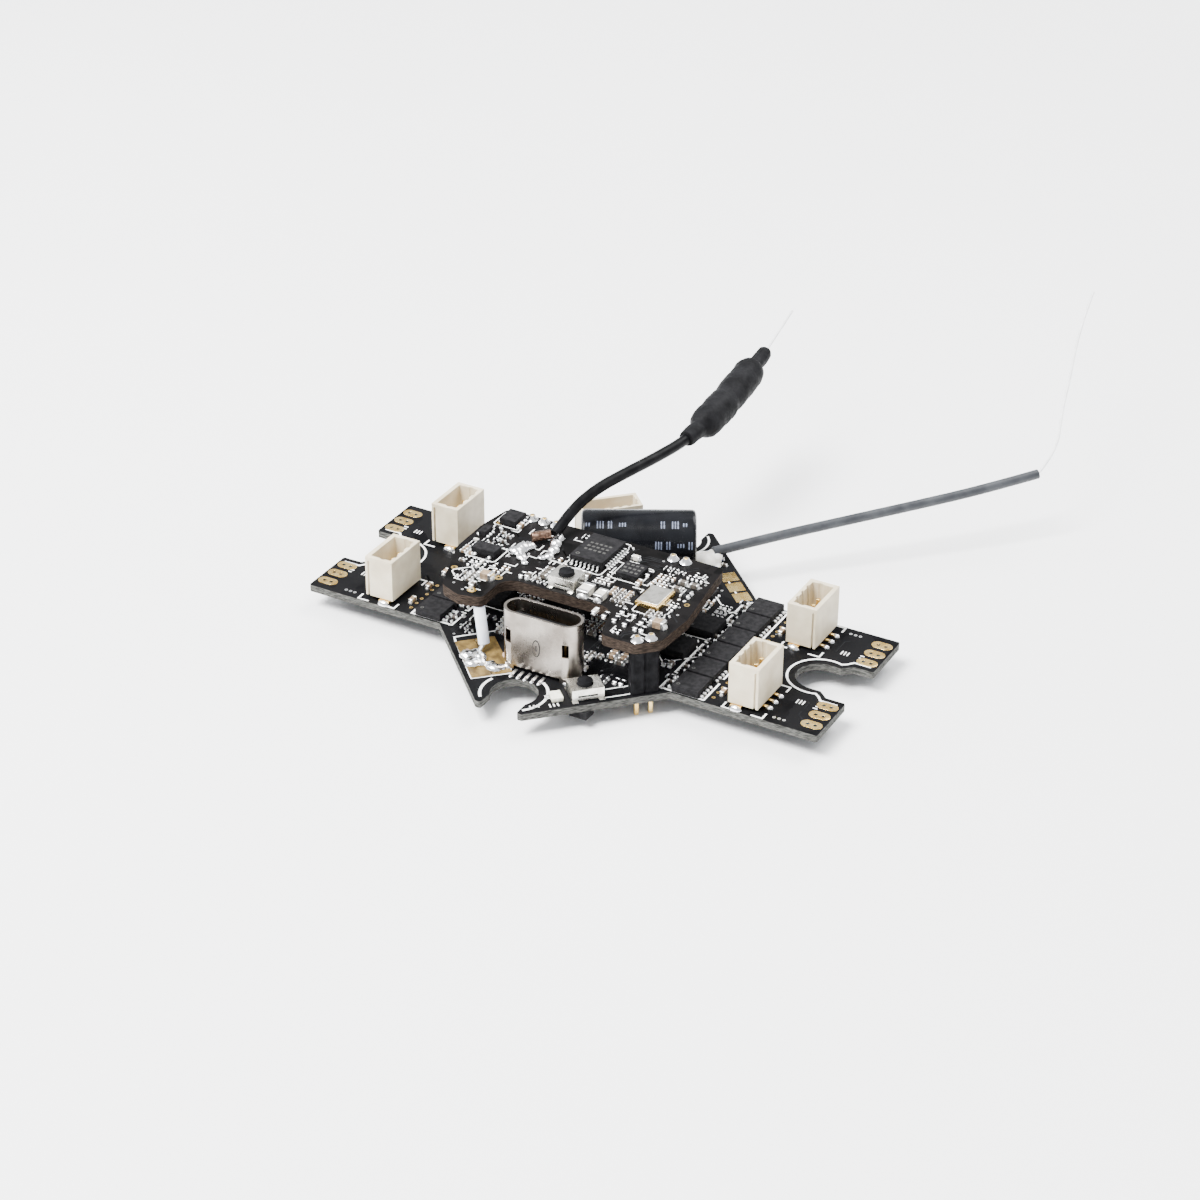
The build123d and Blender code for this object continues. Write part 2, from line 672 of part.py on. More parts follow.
# ---- Antennas ----
COAX_RADIUS = 0.6
COAX_ROUTE = [
    (-6.4, 1.6, 9.75),
    (-6.1, 4.6, 11.3),
    (-5.1, 8.4, 12.4),
    (-3.8, 12.4, 12.75),
    (-2.5, 16.6, 12.95),
    (-1.3, 21.4, 13.2),
    (-0.9, 27.0, 13.65),
    (-1.2, 35.0, 14.35),
    (-1.95, 42.8, 14.95),
]
SLEEVE_START = (-1.16, 22.0, 13.22)
SLEEVE_END = (-1.9, 42.3, 14.91)
COLLAR_LENGTH = 3.2
FAT_LENGTH = 13.4
TIP_ROUTE = [(-1.95, 42.8, 14.95), (-2.6, 47.6, 15.3), (-3.6, 53.3, 15.5)]
TIP_RADIUS = 0.15

RECEIVER_TUBE_RADIUS = 0.55
RECEIVER_ROUTE = [
    (5.6, 15.3, 4.15),
    (10.4, 20.7, 4.75),
    (16.4, 26.8, 5.5),
    (22.4, 33.0, 6.2),
    (27.6, 38.5, 6.85),
    (31.9, 43.7, 7.5),
]
RECEIVER_WIRE_RADIUS = 0.15
RECEIVER_WIRE_ROUTE = [
    (31.9, 43.7, 7.5),
    (32.8, 47.0, 9.1),
    (31.2, 52.0, 11.3),
    (29.9, 57.5, 12.9),
    (28.4, 63.2, 14.5),
    (27.3, 68.4, 15.8),
    (26.6, 73.0, 17.0),
]


def antenna_sleeve(coax):
    """Heat-shrink sleeve: a narrow collar, a fat middle over the choke and a narrow neck."""
    axis = Line(SLEEVE_START, SLEEVE_END)
    plane = Plane(origin=SLEEVE_START, z_dir=axis % 0)
    fat_end = COLLAR_LENGTH + FAT_LENGTH
    profile = Polygon(
        (0, 0),
        (0.95, 0),
        (1.0, COLLAR_LENGTH - 0.5),
        (1.75, COLLAR_LENGTH + 0.4),
        (1.8, COLLAR_LENGTH + 1.2),
        (1.8, fat_end - 1.2),
        (1.7, fat_end - 0.4),
        (1.0, fat_end + 0.4),
        (0.85, axis.length),
        (0, axis.length),
        align=None,
    )
    body = revolve(Plane.XZ * profile, Axis.Z)
    return plane * body - coax


def make_antennas():
    coax = cord_tube("coax", COAX_ROUTE, COAX_RADIUS)
    save("antenna_coax", coax)
    save("antenna_sleeve", antenna_sleeve(coax))
    tip = tube_along(Spline(*TIP_ROUTE), TIP_RADIUS)
    save("antenna_tip", tip)
    braid = rod((-8.4, 0.1, VIDEO_TOP + 0.75), (-6.9, 1.5, VIDEO_TOP + 0.85), 0.55)
    solder = Pos(-8.2, 0.3, VIDEO_TOP - 0.4) * Sphere(1.9)
    solder += Pos(-6.7, -0.6, VIDEO_TOP - 0.3) * Sphere(1.2)
    solder &= block(-8, 0, VIDEO_TOP, 8, 8, 3)
    solder -= braid
    solder -= coax
    braid -= coax
    solder -= block(OSD_X, OSD_Y, VIDEO_TOP, OSD_LENGTH + 1.6, OSD_WIDTH + 1.6, 4)
    save("antenna_braid", braid)
    save("antenna_solder", solder)
    receiver = cord_tube("receiver tube", RECEIVER_ROUTE, RECEIVER_TUBE_RADIUS)
    save("receiver_tube", receiver)
    wire = cord_tube("receiver wire", RECEIVER_WIRE_ROUTE, RECEIVER_WIRE_RADIUS)
    save("receiver_wire", wire)
    glue = Pos(4.95, 14.6, BOARD_TOP + 0.3) * Sphere(1.45)
    glue &= block(4.95, 14.6, BOARD_TOP, 4, 4, 2.2)
    glue -= receiver
    glue -= along_can(-0.1, CAN_RADIUS + 0.02, CAN_LENGTH + 0.2)
    save("receiver_glue", glue)


make_main_board()
make_motor_pads()
make_battery_terminals()
make_rear_pads()
make_video_board()
make_headers()
make_usb()
make_sockets()
make_capacitor()
make_switches()
make_mosfets()
make_chips()
make_osd_chip()
make_crystal()
make_small_parts()
make_antennas()
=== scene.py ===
import math
import random

import bmesh
import bpy
from mathutils import Matrix, Vector, noise


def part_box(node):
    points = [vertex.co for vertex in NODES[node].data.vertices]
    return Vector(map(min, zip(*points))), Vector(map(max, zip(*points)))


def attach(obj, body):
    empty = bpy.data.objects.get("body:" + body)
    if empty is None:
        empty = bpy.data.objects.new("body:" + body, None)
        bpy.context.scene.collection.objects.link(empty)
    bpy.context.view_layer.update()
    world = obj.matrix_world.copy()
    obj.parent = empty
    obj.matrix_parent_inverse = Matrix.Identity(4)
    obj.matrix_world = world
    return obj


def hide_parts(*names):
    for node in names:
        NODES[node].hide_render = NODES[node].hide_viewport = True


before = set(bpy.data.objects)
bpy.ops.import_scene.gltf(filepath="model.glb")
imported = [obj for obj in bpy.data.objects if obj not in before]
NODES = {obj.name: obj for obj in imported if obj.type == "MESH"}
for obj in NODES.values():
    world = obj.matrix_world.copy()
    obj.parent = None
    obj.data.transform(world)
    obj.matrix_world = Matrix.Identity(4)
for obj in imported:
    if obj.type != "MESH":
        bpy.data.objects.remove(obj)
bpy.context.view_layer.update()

MM = 0.001
SAME_POINT = 1e-6
BODY = "board"
BOARD_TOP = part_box("main_board")[1].z / MM
BOARD_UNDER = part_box("main_board")[0].z / MM
VIDEO_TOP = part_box("video_board")[1].z / MM
VIDEO_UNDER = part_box("video_board")[0].z / MM
INK = 0.02


def new_object(name, data):
    """An object in the scene with that data."""
    made = bpy.data.objects.new(name, data)
    bpy.context.scene.collection.objects.link(made)
    return made


# ---- Camera ----
CAMERA_TARGET = Vector((-1.318, 2.359, 2.7))
CAMERA_DISTANCE = 307.168
CAMERA_AZIMUTH = math.radians(28.747)
CAMERA_ELEVATION = math.radians(30.687)
CAMERA_ROLL = math.radians(0.392)
CAMERA_LENS = 86.14
SENSOR = 36.0


def make_camera():
    """The camera at the photograph's place, aim, roll and focal length."""
    flat = math.cos(CAMERA_ELEVATION)
    back = Vector((
        math.sin(CAMERA_AZIMUTH) * flat,
        -math.cos(CAMERA_AZIMUTH) * flat,
        math.sin(CAMERA_ELEVATION),
    ))
    right = (-back).cross(Vector((0, 0, 1))).normalized()
    up = right.cross(-back)
    rolled_right = math.cos(CAMERA_ROLL) * right + math.sin(CAMERA_ROLL) * up
    rolled_up = -math.sin(CAMERA_ROLL) * right + math.cos(CAMERA_ROLL) * up
    turn = Matrix((rolled_right, rolled_up, back)).transposed()
    data = bpy.data.cameras.new("camera")
    data.lens = CAMERA_LENS
    data.sensor_width = SENSOR
    data.clip_start = 0.01
    data.clip_end = 20
    camera = new_object("camera", data)
    place = Matrix.Translation((CAMERA_TARGET + back * CAMERA_DISTANCE) * MM)
    camera.matrix_world = place @ turn.to_4x4()
    bpy.context.scene.camera = camera


make_camera()


# ---- Materials ----
MATT = 0.02  # specular level of the blackest finishes
PATCH_LIMITS = (0.35, 0.65)  # noise values where a patch is fully dark and fully light
GRAIN_DETAIL = 4.0
RELIEF_STRENGTH = 0.6
SPECK_FADE = 0.03
POUR_SIZE = 2.3  # copper areas under the solder mask, in millimetres
FIBRE_SIZE = 0.22
FIBRE_STRETCH = (0.35, 0.35, 3.2)
EDGE_ROUGHNESS = 0.7


def socket_set(tree, node, name, value):
    """Links a socket to the input, or sets the input's own value."""
    target = node.inputs[name]
    if isinstance(value, bpy.types.NodeSocket):
        tree.links.new(value, target)
    else:
        target.default_value = value


def add_node(tree, kind, settings=None, **inputs):
    """A node with its settings, and its inputs named with _ for a space."""
    node = tree.nodes.new(kind)
    for key, value in (settings or {}).items():
        setattr(node, key, value)
    for name, value in inputs.items():
        socket_set(tree, node, name.replace("_", " "), value)
    return node


def noise_value(tree, place, size, detail=3.0):
    """Noise with features of about that size in millimetres."""
    node = add_node(tree, "ShaderNodeTexNoise", Vector=place, Scale=1 / (size * MM), Detail=detail)
    return node.outputs["Fac"]


def ramp(tree, value, low, high, low_colour, high_colour):
    """A colour that runs from the first to the second while the value goes from low to high."""
    node = add_node(tree, "ShaderNodeValToRGB", Fac=value)
    node.color_ramp.elements[0].position = low
    node.color_ramp.elements[1].position = high
    node.color_ramp.elements[0].color = (*low_colour, 1)
    node.color_ramp.elements[1].color = (*high_colour, 1)
    return node.outputs["Color"]


def scaled(tree, value, low, high, from_low=0.3, from_high=0.7):
    """The value mapped from its own two limits to low and high."""
    node = add_node(tree, "ShaderNodeMapRange", Value=value)
    node.inputs["From Min"].default_value = from_low
    node.inputs["From Max"].default_value = from_high
    node.inputs["To Min"].default_value = low
    node.inputs["To Max"].default_value = high
    return node.outputs["Result"]


def mixed(tree, share, first, second):
    """The first colour, with that share of the second."""
    node = add_node(tree, "ShaderNodeMix", {"data_type": "RGBA"})
    socket_set(tree, node, 0, share)
    for index, value in ((6, first), (7, second)):
        if isinstance(value, bpy.types.NodeSocket):
            tree.links.new(value, node.inputs[index])
        else:
            node.inputs[index].default_value = (*value, 1)
    return node.outputs[2]


def surface(name, dark, light, patch, rough, grain, bump, metal=0.0, **extra):
    """A material whose colour, roughness and relief vary with noise.

    dark and light are the two colours, patch the size of the colour patches and grain the size of
    the relief in millimetres, rough the two roughness limits and bump the relief's depth. specks is
    their size, the noise value that they start at and their colour.
    """
    made = bpy.data.materials.new(name)
    made.use_nodes = True
    tree = made.node_tree
    shader = tree.nodes["Principled BSDF"]
    place = add_node(tree, "ShaderNodeTexCoord").outputs["Object"]
    patches = noise_value(tree, place, patch)
    grains = noise_value(tree, place, grain, GRAIN_DETAIL)
    colour = ramp(tree, patches, *PATCH_LIMITS, dark, light)
    specks = extra.pop("specks", None)
    if specks:
        speck_size, speck_start, speck_colour = specks
        spots = noise_value(tree, place, speck_size)
        speck = scaled(tree, spots, 0, 1, speck_start, speck_start + SPECK_FADE)
        colour = mixed(tree, speck, colour, speck_colour)
    socket_set(tree, shader, "Base Color", colour)
    socket_set(tree, shader, "Roughness", scaled(tree, grains, *rough))
    relief = add_node(tree, "ShaderNodeBump", Height=grains, Strength=RELIEF_STRENGTH, Distance=bump * MM)
    socket_set(tree, shader, "Normal", relief.outputs["Normal"])
    shader.inputs["Metallic"].default_value = metal
    for key, value in extra.items():
        shader.inputs[key.replace("_", " ")].default_value = value
    return made


def board_mask(name, mask_dark, mask_light, edge_dark, edge_light):
    """Solder mask over copper on the two faces, and cut glass fibre on the edges."""
    made = surface(
        name, mask_dark, mask_light, 2.6, (0.3, 0.42), 0.12, 0.003, Specular_IOR_Level=MATT
    )
    tree = made.node_tree
    shader = tree.nodes["Principled BSDF"]
    place = add_node(tree, "ShaderNodeTexCoord").outputs["Object"]
    normal = add_node(tree, "ShaderNodeNewGeometry").outputs["Normal"]
    upright = add_node(tree, "ShaderNodeSeparateXYZ", Vector=normal).outputs["Z"]
    flatness = add_node(tree, "ShaderNodeMath", {"operation": "ABSOLUTE"})
    tree.links.new(upright, flatness.inputs[0])
    side = scaled(tree, flatness.outputs[0], 1, 0, 0.5, 0.6)
    stretched = add_node(tree, "ShaderNodeMapping", Vector=place)
    stretched.inputs["Scale"].default_value = FIBRE_STRETCH
    fibres = noise_value(tree, stretched.outputs["Vector"], FIBRE_SIZE, 5.0)
    edge = ramp(tree, fibres, 0.4, 0.62, edge_dark, edge_light)
    pours = add_node(
        tree, "ShaderNodeTexVoronoi", {"distance": "CHEBYCHEV"}, Vector=place,
        Scale=1 / (POUR_SIZE * MM), Randomness=0.85,
    )
    pour = scaled(tree, pours.outputs["Color"], 0, 1, 0.45, 0.5)
    mask = shader.inputs["Base Color"].links[0].from_socket
    mask = mixed(tree, pour, mask, mask_light)
    socket_set(tree, shader, "Base Color", mixed(tree, side, mask, edge))
    rough = shader.inputs["Roughness"].links[0].from_socket
    node = add_node(tree, "ShaderNodeMix")
    tree.links.new(side, node.inputs[0])
    tree.links.new(rough, node.inputs[2])
    node.inputs[3].default_value = EDGE_ROUGHNESS
    tree.links.new(node.outputs[0], shader.inputs["Roughness"])
    return made


MATERIALS = {
    "board_black": board_mask(
        "mask_black", (0.0025, 0.0025, 0.003), (0.0065, 0.0065, 0.007),
        (0.03, 0.03, 0.028), (0.13, 0.13, 0.12),
    ),
    "video_black": board_mask(
        "mask_video", (0.0025, 0.0025, 0.0025), (0.0065, 0.006, 0.006),
        (0.014, 0.0105, 0.0085), (0.05, 0.037, 0.029),
    ),
    "track_mask": surface(
        "track_mask", (0.006, 0.0062, 0.0068), (0.014, 0.0145, 0.0155), 1.5, (0.28, 0.4), 0.1, 0.002,
        Specular_IOR_Level=MATT,
    ),
    "silk": surface("silk_ink", (0.74, 0.74, 0.72), (0.9, 0.9, 0.88), 0.5, (0.5, 0.75), 0.05, 0.003),
    "gold": surface(
        "gold_plate", (0.72, 0.46, 0.13), (0.92, 0.68, 0.29), 0.8, (0.18, 0.36), 0.08, 0.004, 1.0
    ),
    "dull_gold": surface(
        "fluxed_gold", (0.1, 0.062, 0.018), (0.26, 0.17, 0.05), 0.9, (0.35, 0.6), 0.2, 0.006, 0.5
    ),
    "solder": surface(
        "solder", (0.75, 0.75, 0.77), (0.97, 0.97, 0.97), 0.7, (0.14, 0.26), 1.2, 0.002, 1.0
    ),
    "tin": surface("tin_plate", (0.8, 0.8, 0.79), (0.97, 0.97, 0.96), 0.4, (0.25, 0.4), 0.1, 0.003, 1.0),
    "steel": surface(
        "drawn_steel", (0.2, 0.175, 0.15), (0.37, 0.335, 0.295), 2.6, (0.24, 0.3), 2.4, 0.0003, 1.0
    ),
    "cover_steel": surface(
        "cover_steel", (0.6, 0.58, 0.52), (0.86, 0.84, 0.78), 0.7, (0.22, 0.36), 0.1, 0.006, 1.0
    ),
    "cream_plastic": surface(
        "cream_nylon", (0.54, 0.46, 0.32), (0.66, 0.585, 0.435), 2.0, (0.42, 0.6), 0.15, 0.003,
        Subsurface_Weight=0.12, Subsurface_Radius=(0.0008, 0.0006, 0.0003),
    ),
    "black_plastic": surface(
        "black_nylon", (0.004, 0.004, 0.0045), (0.01, 0.01, 0.011), 0.9, (0.4, 0.6), 0.1, 0.004,
        Specular_IOR_Level=MATT,
    ),
    "chip_black": surface(
        "chip_epoxy", (0.009, 0.009, 0.0095), (0.017, 0.0165, 0.0175), 0.5, (0.5, 0.65), 0.08, 0.003,
        Specular_IOR_Level=MATT, specks=(0.08, 0.66, (0.03, 0.03, 0.03)),
    ),
    "chip_mark": surface(
        "laser_mark", (0.022, 0.022, 0.02), (0.04, 0.039, 0.035), 0.3, (0.6, 0.8), 0.05, 0.003
    ),
    "sleeve_black": surface(
        "printed_sleeve", (0.0025, 0.0027, 0.0035), (0.005, 0.0055, 0.007), 2.5, (0.2, 0.3), 1.4, 0.006,
        Specular_IOR_Level=0.14,
    ),
    "sleeve_ink": surface(
        "sleeve_ink", (0.05, 0.058, 0.09), (0.16, 0.185, 0.26), 0.3, (0.3, 0.45), 0.06, 0.003
    ),
    "coax_black": surface(
        "coax_jacket", (0.002, 0.002, 0.0025), (0.006, 0.006, 0.0065), 1.2, (0.3, 0.45), 0.5, 0.008,
        Specular_IOR_Level=0.06,
    ),
    "aluminium": surface(
        "can_aluminium", (0.6, 0.6, 0.6), (0.8, 0.8, 0.8), 1.0, (0.25, 0.4), 0.1, 0.004, 1.0
    ),
    "rubber": surface("bung_rubber", (0.015, 0.015, 0.016), (0.03, 0.03, 0.03), 0.6, (0.6, 0.8), 0.1, 0.01),
    "paper": surface("winding_paper", (0.4, 0.32, 0.2), (0.6, 0.5, 0.35), 0.6, (0.7, 0.9), 0.1, 0.01),
    "copper": surface(
        "copper_braid", (0.06, 0.032, 0.022), (0.22, 0.14, 0.1), 0.25, (0.3, 0.5), 0.12, 0.02, 1.0
    ),
    "white_plastic": surface(
        "wire_jacket", (0.66, 0.71, 0.8), (0.82, 0.85, 0.9), 1.0, (0.3, 0.42), 0.2, 0.008,
        Subsurface_Weight=0.1, Subsurface_Radius=(0.0004, 0.0004, 0.0005),
    ),
    "ceramic_tan": surface(
        "ceramic_tan", (0.16, 0.11, 0.07), (0.3, 0.21, 0.13), 0.5, (0.4, 0.55), 0.06, 0.004
    ),
    "ceramic_grey": surface(
        "ceramic_grey", (0.04, 0.034, 0.028), (0.1, 0.085, 0.07), 0.5, (0.4, 0.6), 0.06, 0.004
    ),
    "ceramic_pale": surface(
        "ceramic_pale", (0.6, 0.57, 0.49), (0.75, 0.72, 0.64), 0.6, (0.35, 0.5), 0.06, 0.004
    ),
    "heat_shrink": surface(
        "heat_shrink", (0.004, 0.004, 0.0045), (0.01, 0.01, 0.011), 1.8, (0.5, 0.7), 0.3, 0.03,
        Specular_IOR_Level=0.05,
    ),
    "grey_tube": surface(
        "grey_tube", (0.022, 0.024, 0.028), (0.042, 0.045, 0.05), 2.0, (0.35, 0.5), 0.3, 0.01,
        Specular_IOR_Level=0.3,
    ),
    "clear_wire": surface("clear_wire", (0.78, 0.78, 0.78), (0.9, 0.9, 0.9), 1.5, (0.2, 0.35), 0.2, 0.004),
    "glue": surface(
        "hot_glue", (0.78, 0.76, 0.69), (0.92, 0.91, 0.87), 0.8, (0.18, 0.35), 0.4, 0.06,
        Subsurface_Weight=0.25, Subsurface_Radius=(0.001, 0.0009, 0.0006),
    ),
    "flux": surface("flux_residue", (0.3, 0.19, 0.15), (0.48, 0.34, 0.27), 0.6, (0.15, 0.3), 0.3, 0.02),
    "led_yellow": surface("led_lens", (0.72, 0.7, 0.55), (0.9, 0.89, 0.78), 0.5, (0.15, 0.3), 0.1, 0.004),
    # Painted shade: a near-black ring that stands for the shade in the USB shell's stamped groove.
    "groove_shade": surface(
        "contact_shadow", (0.004, 0.004, 0.004), (0.012, 0.012, 0.012), 0.4, (0.7, 0.9), 0.1, 0.004
    ),
}


# ---- Mesh building ----
class Builder:
    """Collects closed solids in millimetres and makes one mesh of them."""

    def __init__(self, hang=None):
        self.points = []
        self.faces = []
        self.indices = []
        self.hang = hang

    def add(self, solid, index=0):
        """Adds a solid. With a hang height, it is turned over to hang under that height."""
        points, faces = solid
        base = len(self.points)
        if self.hang is not None:
            points = [(x, y, 2 * self.hang - z) for x, y, z in points]
            faces = [face[::-1] for face in faces]
        self.points += [Vector(point) * MM for point in points]
        self.faces += [[base + corner for corner in face] for face in faces]
        self.indices += [index] * len(faces)

    def make(self, name, materials, smooth=0):
        """The mesh object. Edges under the smooth angle in degrees are shaded smooth."""
        mesh = bpy.data.meshes.new(name)
        mesh.from_pydata(self.points, [], self.faces)
        mesh.update()
        made = new_object(name, mesh)
        for material in materials:
            mesh.materials.append(MATERIALS[material])
        mesh.polygons.foreach_set("material_index", self.indices)
        if smooth:
            mesh.shade_smooth()
            mesh.set_sharp_from_angle(angle=math.radians(smooth))
        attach(made, BODY)
        return made


def layers(rings):
    """A closed solid through rings of equal point counts, from the lowest to the highest."""
    count = len(rings[0])
    points = [point for ring in rings for point in ring]
    faces = [list(range(count))[::-1]]
    for level in range(len(rings) - 1):
        low = level * count
        for corner in range(count):
            after = (corner + 1) % count
            faces.append([low + corner, low + after, low + count + after, low + count + corner])
    faces.append([len(points) - count + corner for corner in range(count)])
    return points, faces


def placed(points, x, y, angle):
    """Plan points turned by an angle in degrees and moved to x, y."""
    cosine, sine = math.cos(math.radians(angle)), math.sin(math.radians(angle))
    return [(x + px * cosine - py * sine, y + px * sine + py * cosine) for px, py in points]


def clipped_rectangle(length, width, clip):
    """A rectangle with clipped corners, anticlockwise."""
    a, b = length / 2, width / 2
    return [
        (a, -b + clip), (a, b - clip), (a - clip, b), (-a + clip, b),
        (-a, b - clip), (-a, -b + clip), (-a + clip, -b), (a - clip, -b),
    ]


def chip_box(x, y, z, length, width, height, angle=0, edge=0.05):
    """A box with softened top and upright edges."""
    low = placed(clipped_rectangle(length, width, edge), x, y, angle)
    top = placed(clipped_rectangle(length - 2 * edge, width - 2 * edge, edge * 0.6), x, y, angle)
    return layers([
        [(px, py, z) for px, py in low],
        [(px, py, z + height - edge) for px, py in low],
        [(px, py, z + height) for px, py in top],
    ])


def oval(half_x, half_y, around):
    """Points of an oval round 0, 0, anticlockwise."""
    turns = [2 * math.pi * corner / around for corner in range(around)]
    return [(half_x * math.cos(turn), half_y * math.sin(turn)) for turn in turns]


BEAD_TIP = 0.12


def bead(x, y, z, half_length, half_width, height, angle=0, around=12, levels=4):
    """A rounded mound of solder."""
    rings = []
    for level in range(levels):
        lift = level / levels
        shrink = math.sqrt(1 - lift * lift)
        ring = placed(oval(half_length * shrink, half_width * shrink, around), x, y, angle)
        rings.append([(px, py, z + height * lift) for px, py in ring])
    tip = placed(oval(BEAD_TIP * half_length, BEAD_TIP * half_width, around), x, y, angle)
    rings.append([(px, py, z + height) for px, py in tip])
    return layers(rings)


def ribbon_faces(count):
    """The faces between four rows of points: two side by side below, and the same two above."""
    faces = []
    above = 2 * count
    for a in range(count - 1):
        b, c, d = a + 1, count + a + 1, count + a
        faces.append([a, b, c, d])
        faces.append([above + d, above + c, above + b, above + a])
        faces.append([a, above + a, above + b, b])
        faces.append([c, above + c, above + d, d])
    last = count - 1
    faces.append([0, count, above + count, above])
    faces.append([last, above + last, above + count + last, count + last])
    return faces


def strip(points, width, z, height=INK):
    """A ribbon of ink or copper along plan points."""
    left, right = [], []
    for index, (x, y) in enumerate(points):
        before = Vector(points[max(index - 1, 0)])
        after = Vector(points[min(index + 1, len(points) - 1)])
        here = Vector((x, y))
        run_in = (here - before).normalized() if index else (after - here).normalized()
        run_out = (after - here).normalized() if index < len(points) - 1 else run_in
        along = (run_in + run_out).normalized()
        across = Vector((-along.y, along.x))
        mitre = width / 2 / max(0.5, across.dot(Vector((-run_in.y, run_in.x))))
        left.append(here + across * mitre)
        right.append(here - across * mitre)
    lower = [(p.x, p.y, z) for p in left + right]
    upper = [(p.x, p.y, z + height) for p in left + right]
    return lower + upper, ribbon_faces(len(points))


def ring_faces(around):
    """The faces between four loops of points, the last of which joins the first."""
    faces = []
    for level in range(4):
        low, high = level * around, (level + 1) % 4 * around
        for corner in range(around):
            after = (corner + 1) % around
            faces.append([low + corner, low + after, high + after, high + corner])
    return faces


def washer(x, y, z, inner, outer, height, around=16):
    """A flat ring."""
    points = []
    for radius, lift in ((outer, 0), (outer, height), (inner, height), (inner, 0)):
        points += [(x + px, y + py, z + lift) for px, py in oval(radius, radius, around)]
    return points, ring_faces(around)


def arc(x, y, radius, start, end, count=28):
    """Plan points on an arc, with its angles in degrees."""
    turns = [math.radians(start + (end - start) * index / (count - 1)) for index in range(count)]
    return [(x + radius * math.cos(turn), y + radius * math.sin(turn)) for turn in turns]


def loose_boxes(node):
    """The box of each separate solid in a CAD node, in millimetres."""
    mesh = bmesh.new()
    mesh.from_mesh(NODES[node].data)
    bmesh.ops.remove_doubles(mesh, verts=mesh.verts, dist=SAME_POINT)
    seen, found = set(), []
    for start in mesh.verts:
        if start in seen:
            continue
        seen.add(start)
        island, queue = [], [start]
        while queue:
            vertex = queue.pop()
            island.append(vertex.co / MM)
            for edge in vertex.link_edges:
                other = edge.other_vert(vertex)
                if other not in seen:
                    seen.add(other)
                    queue.append(other)
        low = Vector([min(point[axis] for point in island) for axis in range(3)])
        high = Vector([max(point[axis] for point in island) for axis in range(3)])
        found.append((low, high))
    mesh.free()
    return found


FLAT_ANGLE = math.radians(0.5)
EDGE_ANGLE = math.radians(40)


def paint(node, material, edge):
    """Gives a CAD node its material, and softens its edges by that many millimetres."""
    shown = NODES[node]
    shown.data.materials.clear()
    shown.data.materials.append(MATERIALS[material])
    if edge:
        weld = shown.modifiers.new("weld", "WELD")
        weld.merge_threshold = SAME_POINT
        flat = shown.modifiers.new("flat", "DECIMATE")
        flat.decimate_type = "DISSOLVE"
        flat.angle_limit = FLAT_ANGLE
        bevel = shown.modifiers.new("bevel", "BEVEL")
        bevel.width = edge * MM
        bevel.segments = 2
        bevel.limit_method = "ANGLE"
        bevel.angle_limit = EDGE_ANGLE
        shown.modifiers.new("normals", "WEIGHTED_NORMAL")


# ---- Antennas ----
COAX_RADIUS = 0.6
TUBE_RADIUS = 0.55
WIRE_RADIUS = 0.15
SLEEVE_LENGTH = 21.0
COAX_ROUTE = [
    (-6.4, 1.6, 9.75), (-6.1, 4.6, 11.3), (-5.1, 8.4, 12.4), (-3.8, 12.4, 12.75), (-2.5, 16.6, 12.95),
    (-1.3, 21.4, 13.2), (-0.9, 27.0, 13.65), (-1.2, 35.0, 14.35), (-1.95, 42.8, 14.95),
]
TIP_ROUTE = [(-1.95, 42.8, 14.95), (-2.6, 47.6, 15.3), (-3.6, 53.3, 15.5)]
RECEIVER_ROUTE = [
    (5.6, 15.3, 4.15), (10.4, 20.7, 4.75), (16.4, 26.8, 5.5), (22.4, 33.0, 6.2), (27.6, 38.5, 6.85),
    (31.9, 43.7, 7.5),
]
RECEIVER_WIRE_ROUTE = [
    (31.9, 43.7, 7.5), (32.8, 47.0, 9.1), (31.2, 52.0, 11.3), (29.9, 57.5, 12.9), (28.4, 63.2, 14.5),
    (27.3, 68.4, 15.8), (26.6, 73.0, 17.0),
]


def spline_curve(name, route, radius, material):
    """A smooth round cord with the route's points as its control points."""
    data = bpy.data.curves.new(name, "CURVE")
    data.dimensions = "3D"
    data.resolution_u = 16
    data.use_fill_caps = True
    spline = data.splines.new("NURBS")
    spline.points.add(len(route) - 1)
    for point, place in zip(spline.points, route):
        point.co = (*(Vector(place) * MM), 1)
    spline.order_u = 3
    spline.use_endpoint_u = True
    made = new_object(name, data)
    bpy.context.view_layer.update()
    line = bpy.data.meshes.new_from_object(made)
    centres = [vertex.co / MM for vertex in line.vertices]
    bpy.data.meshes.remove(line)
    data.bevel_depth = radius * MM
    data.bevel_resolution = 6
    data.materials.append(MATERIALS[material])
    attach(made, BODY)
    return made, centres


def along_line(centres, distance):
    """The point and direction at a distance along a line of points."""
    for before, after in zip(centres, centres[1:]):
        run = (after - before).length
        if distance <= run:
            return before.lerp(after, distance / run), (after - before).normalized()
        distance -= run
    return centres[-1].copy(), (centres[-1] - centres[-2]).normalized()


def line_length(centres):
    """The length of a line of points."""
    return sum((after - before).length for before, after in zip(centres, centres[1:]))


def lathe_along(centres, profile, around, roughness):
    """A closed solid of circles along a line, each at its distance and radius, with slight dents."""
    rings = []
    for distance, radius in profile:
        centre, along = along_line(centres, distance)
        side = along.cross(Vector((0, 0, 1))).normalized()
        rise = side.cross(along)
        ring = []
        for corner in range(around):
            turn = 2 * math.pi * corner / around
            ray = side * math.cos(turn) + rise * math.sin(turn)
            dent = noise.noise(Vector((distance * 0.9, 1.3 * math.cos(turn), 1.3 * math.sin(turn))))
            ring.append(centre + ray * (radius + roughness * dent))
        rings.append(ring)
    return layers(rings)


def dense_profile(profile, step):
    """The profile with points between its own at no more than that step."""
    out = [profile[0]]
    for (d0, r0), (d1, r1) in zip(profile, profile[1:]):
        count = max(1, math.ceil((d1 - d0) / step))
        out += [(d0 + (d1 - d0) * k / count, r0 + (r1 - r0) * k / count) for k in range(1, count + 1)]
    return out


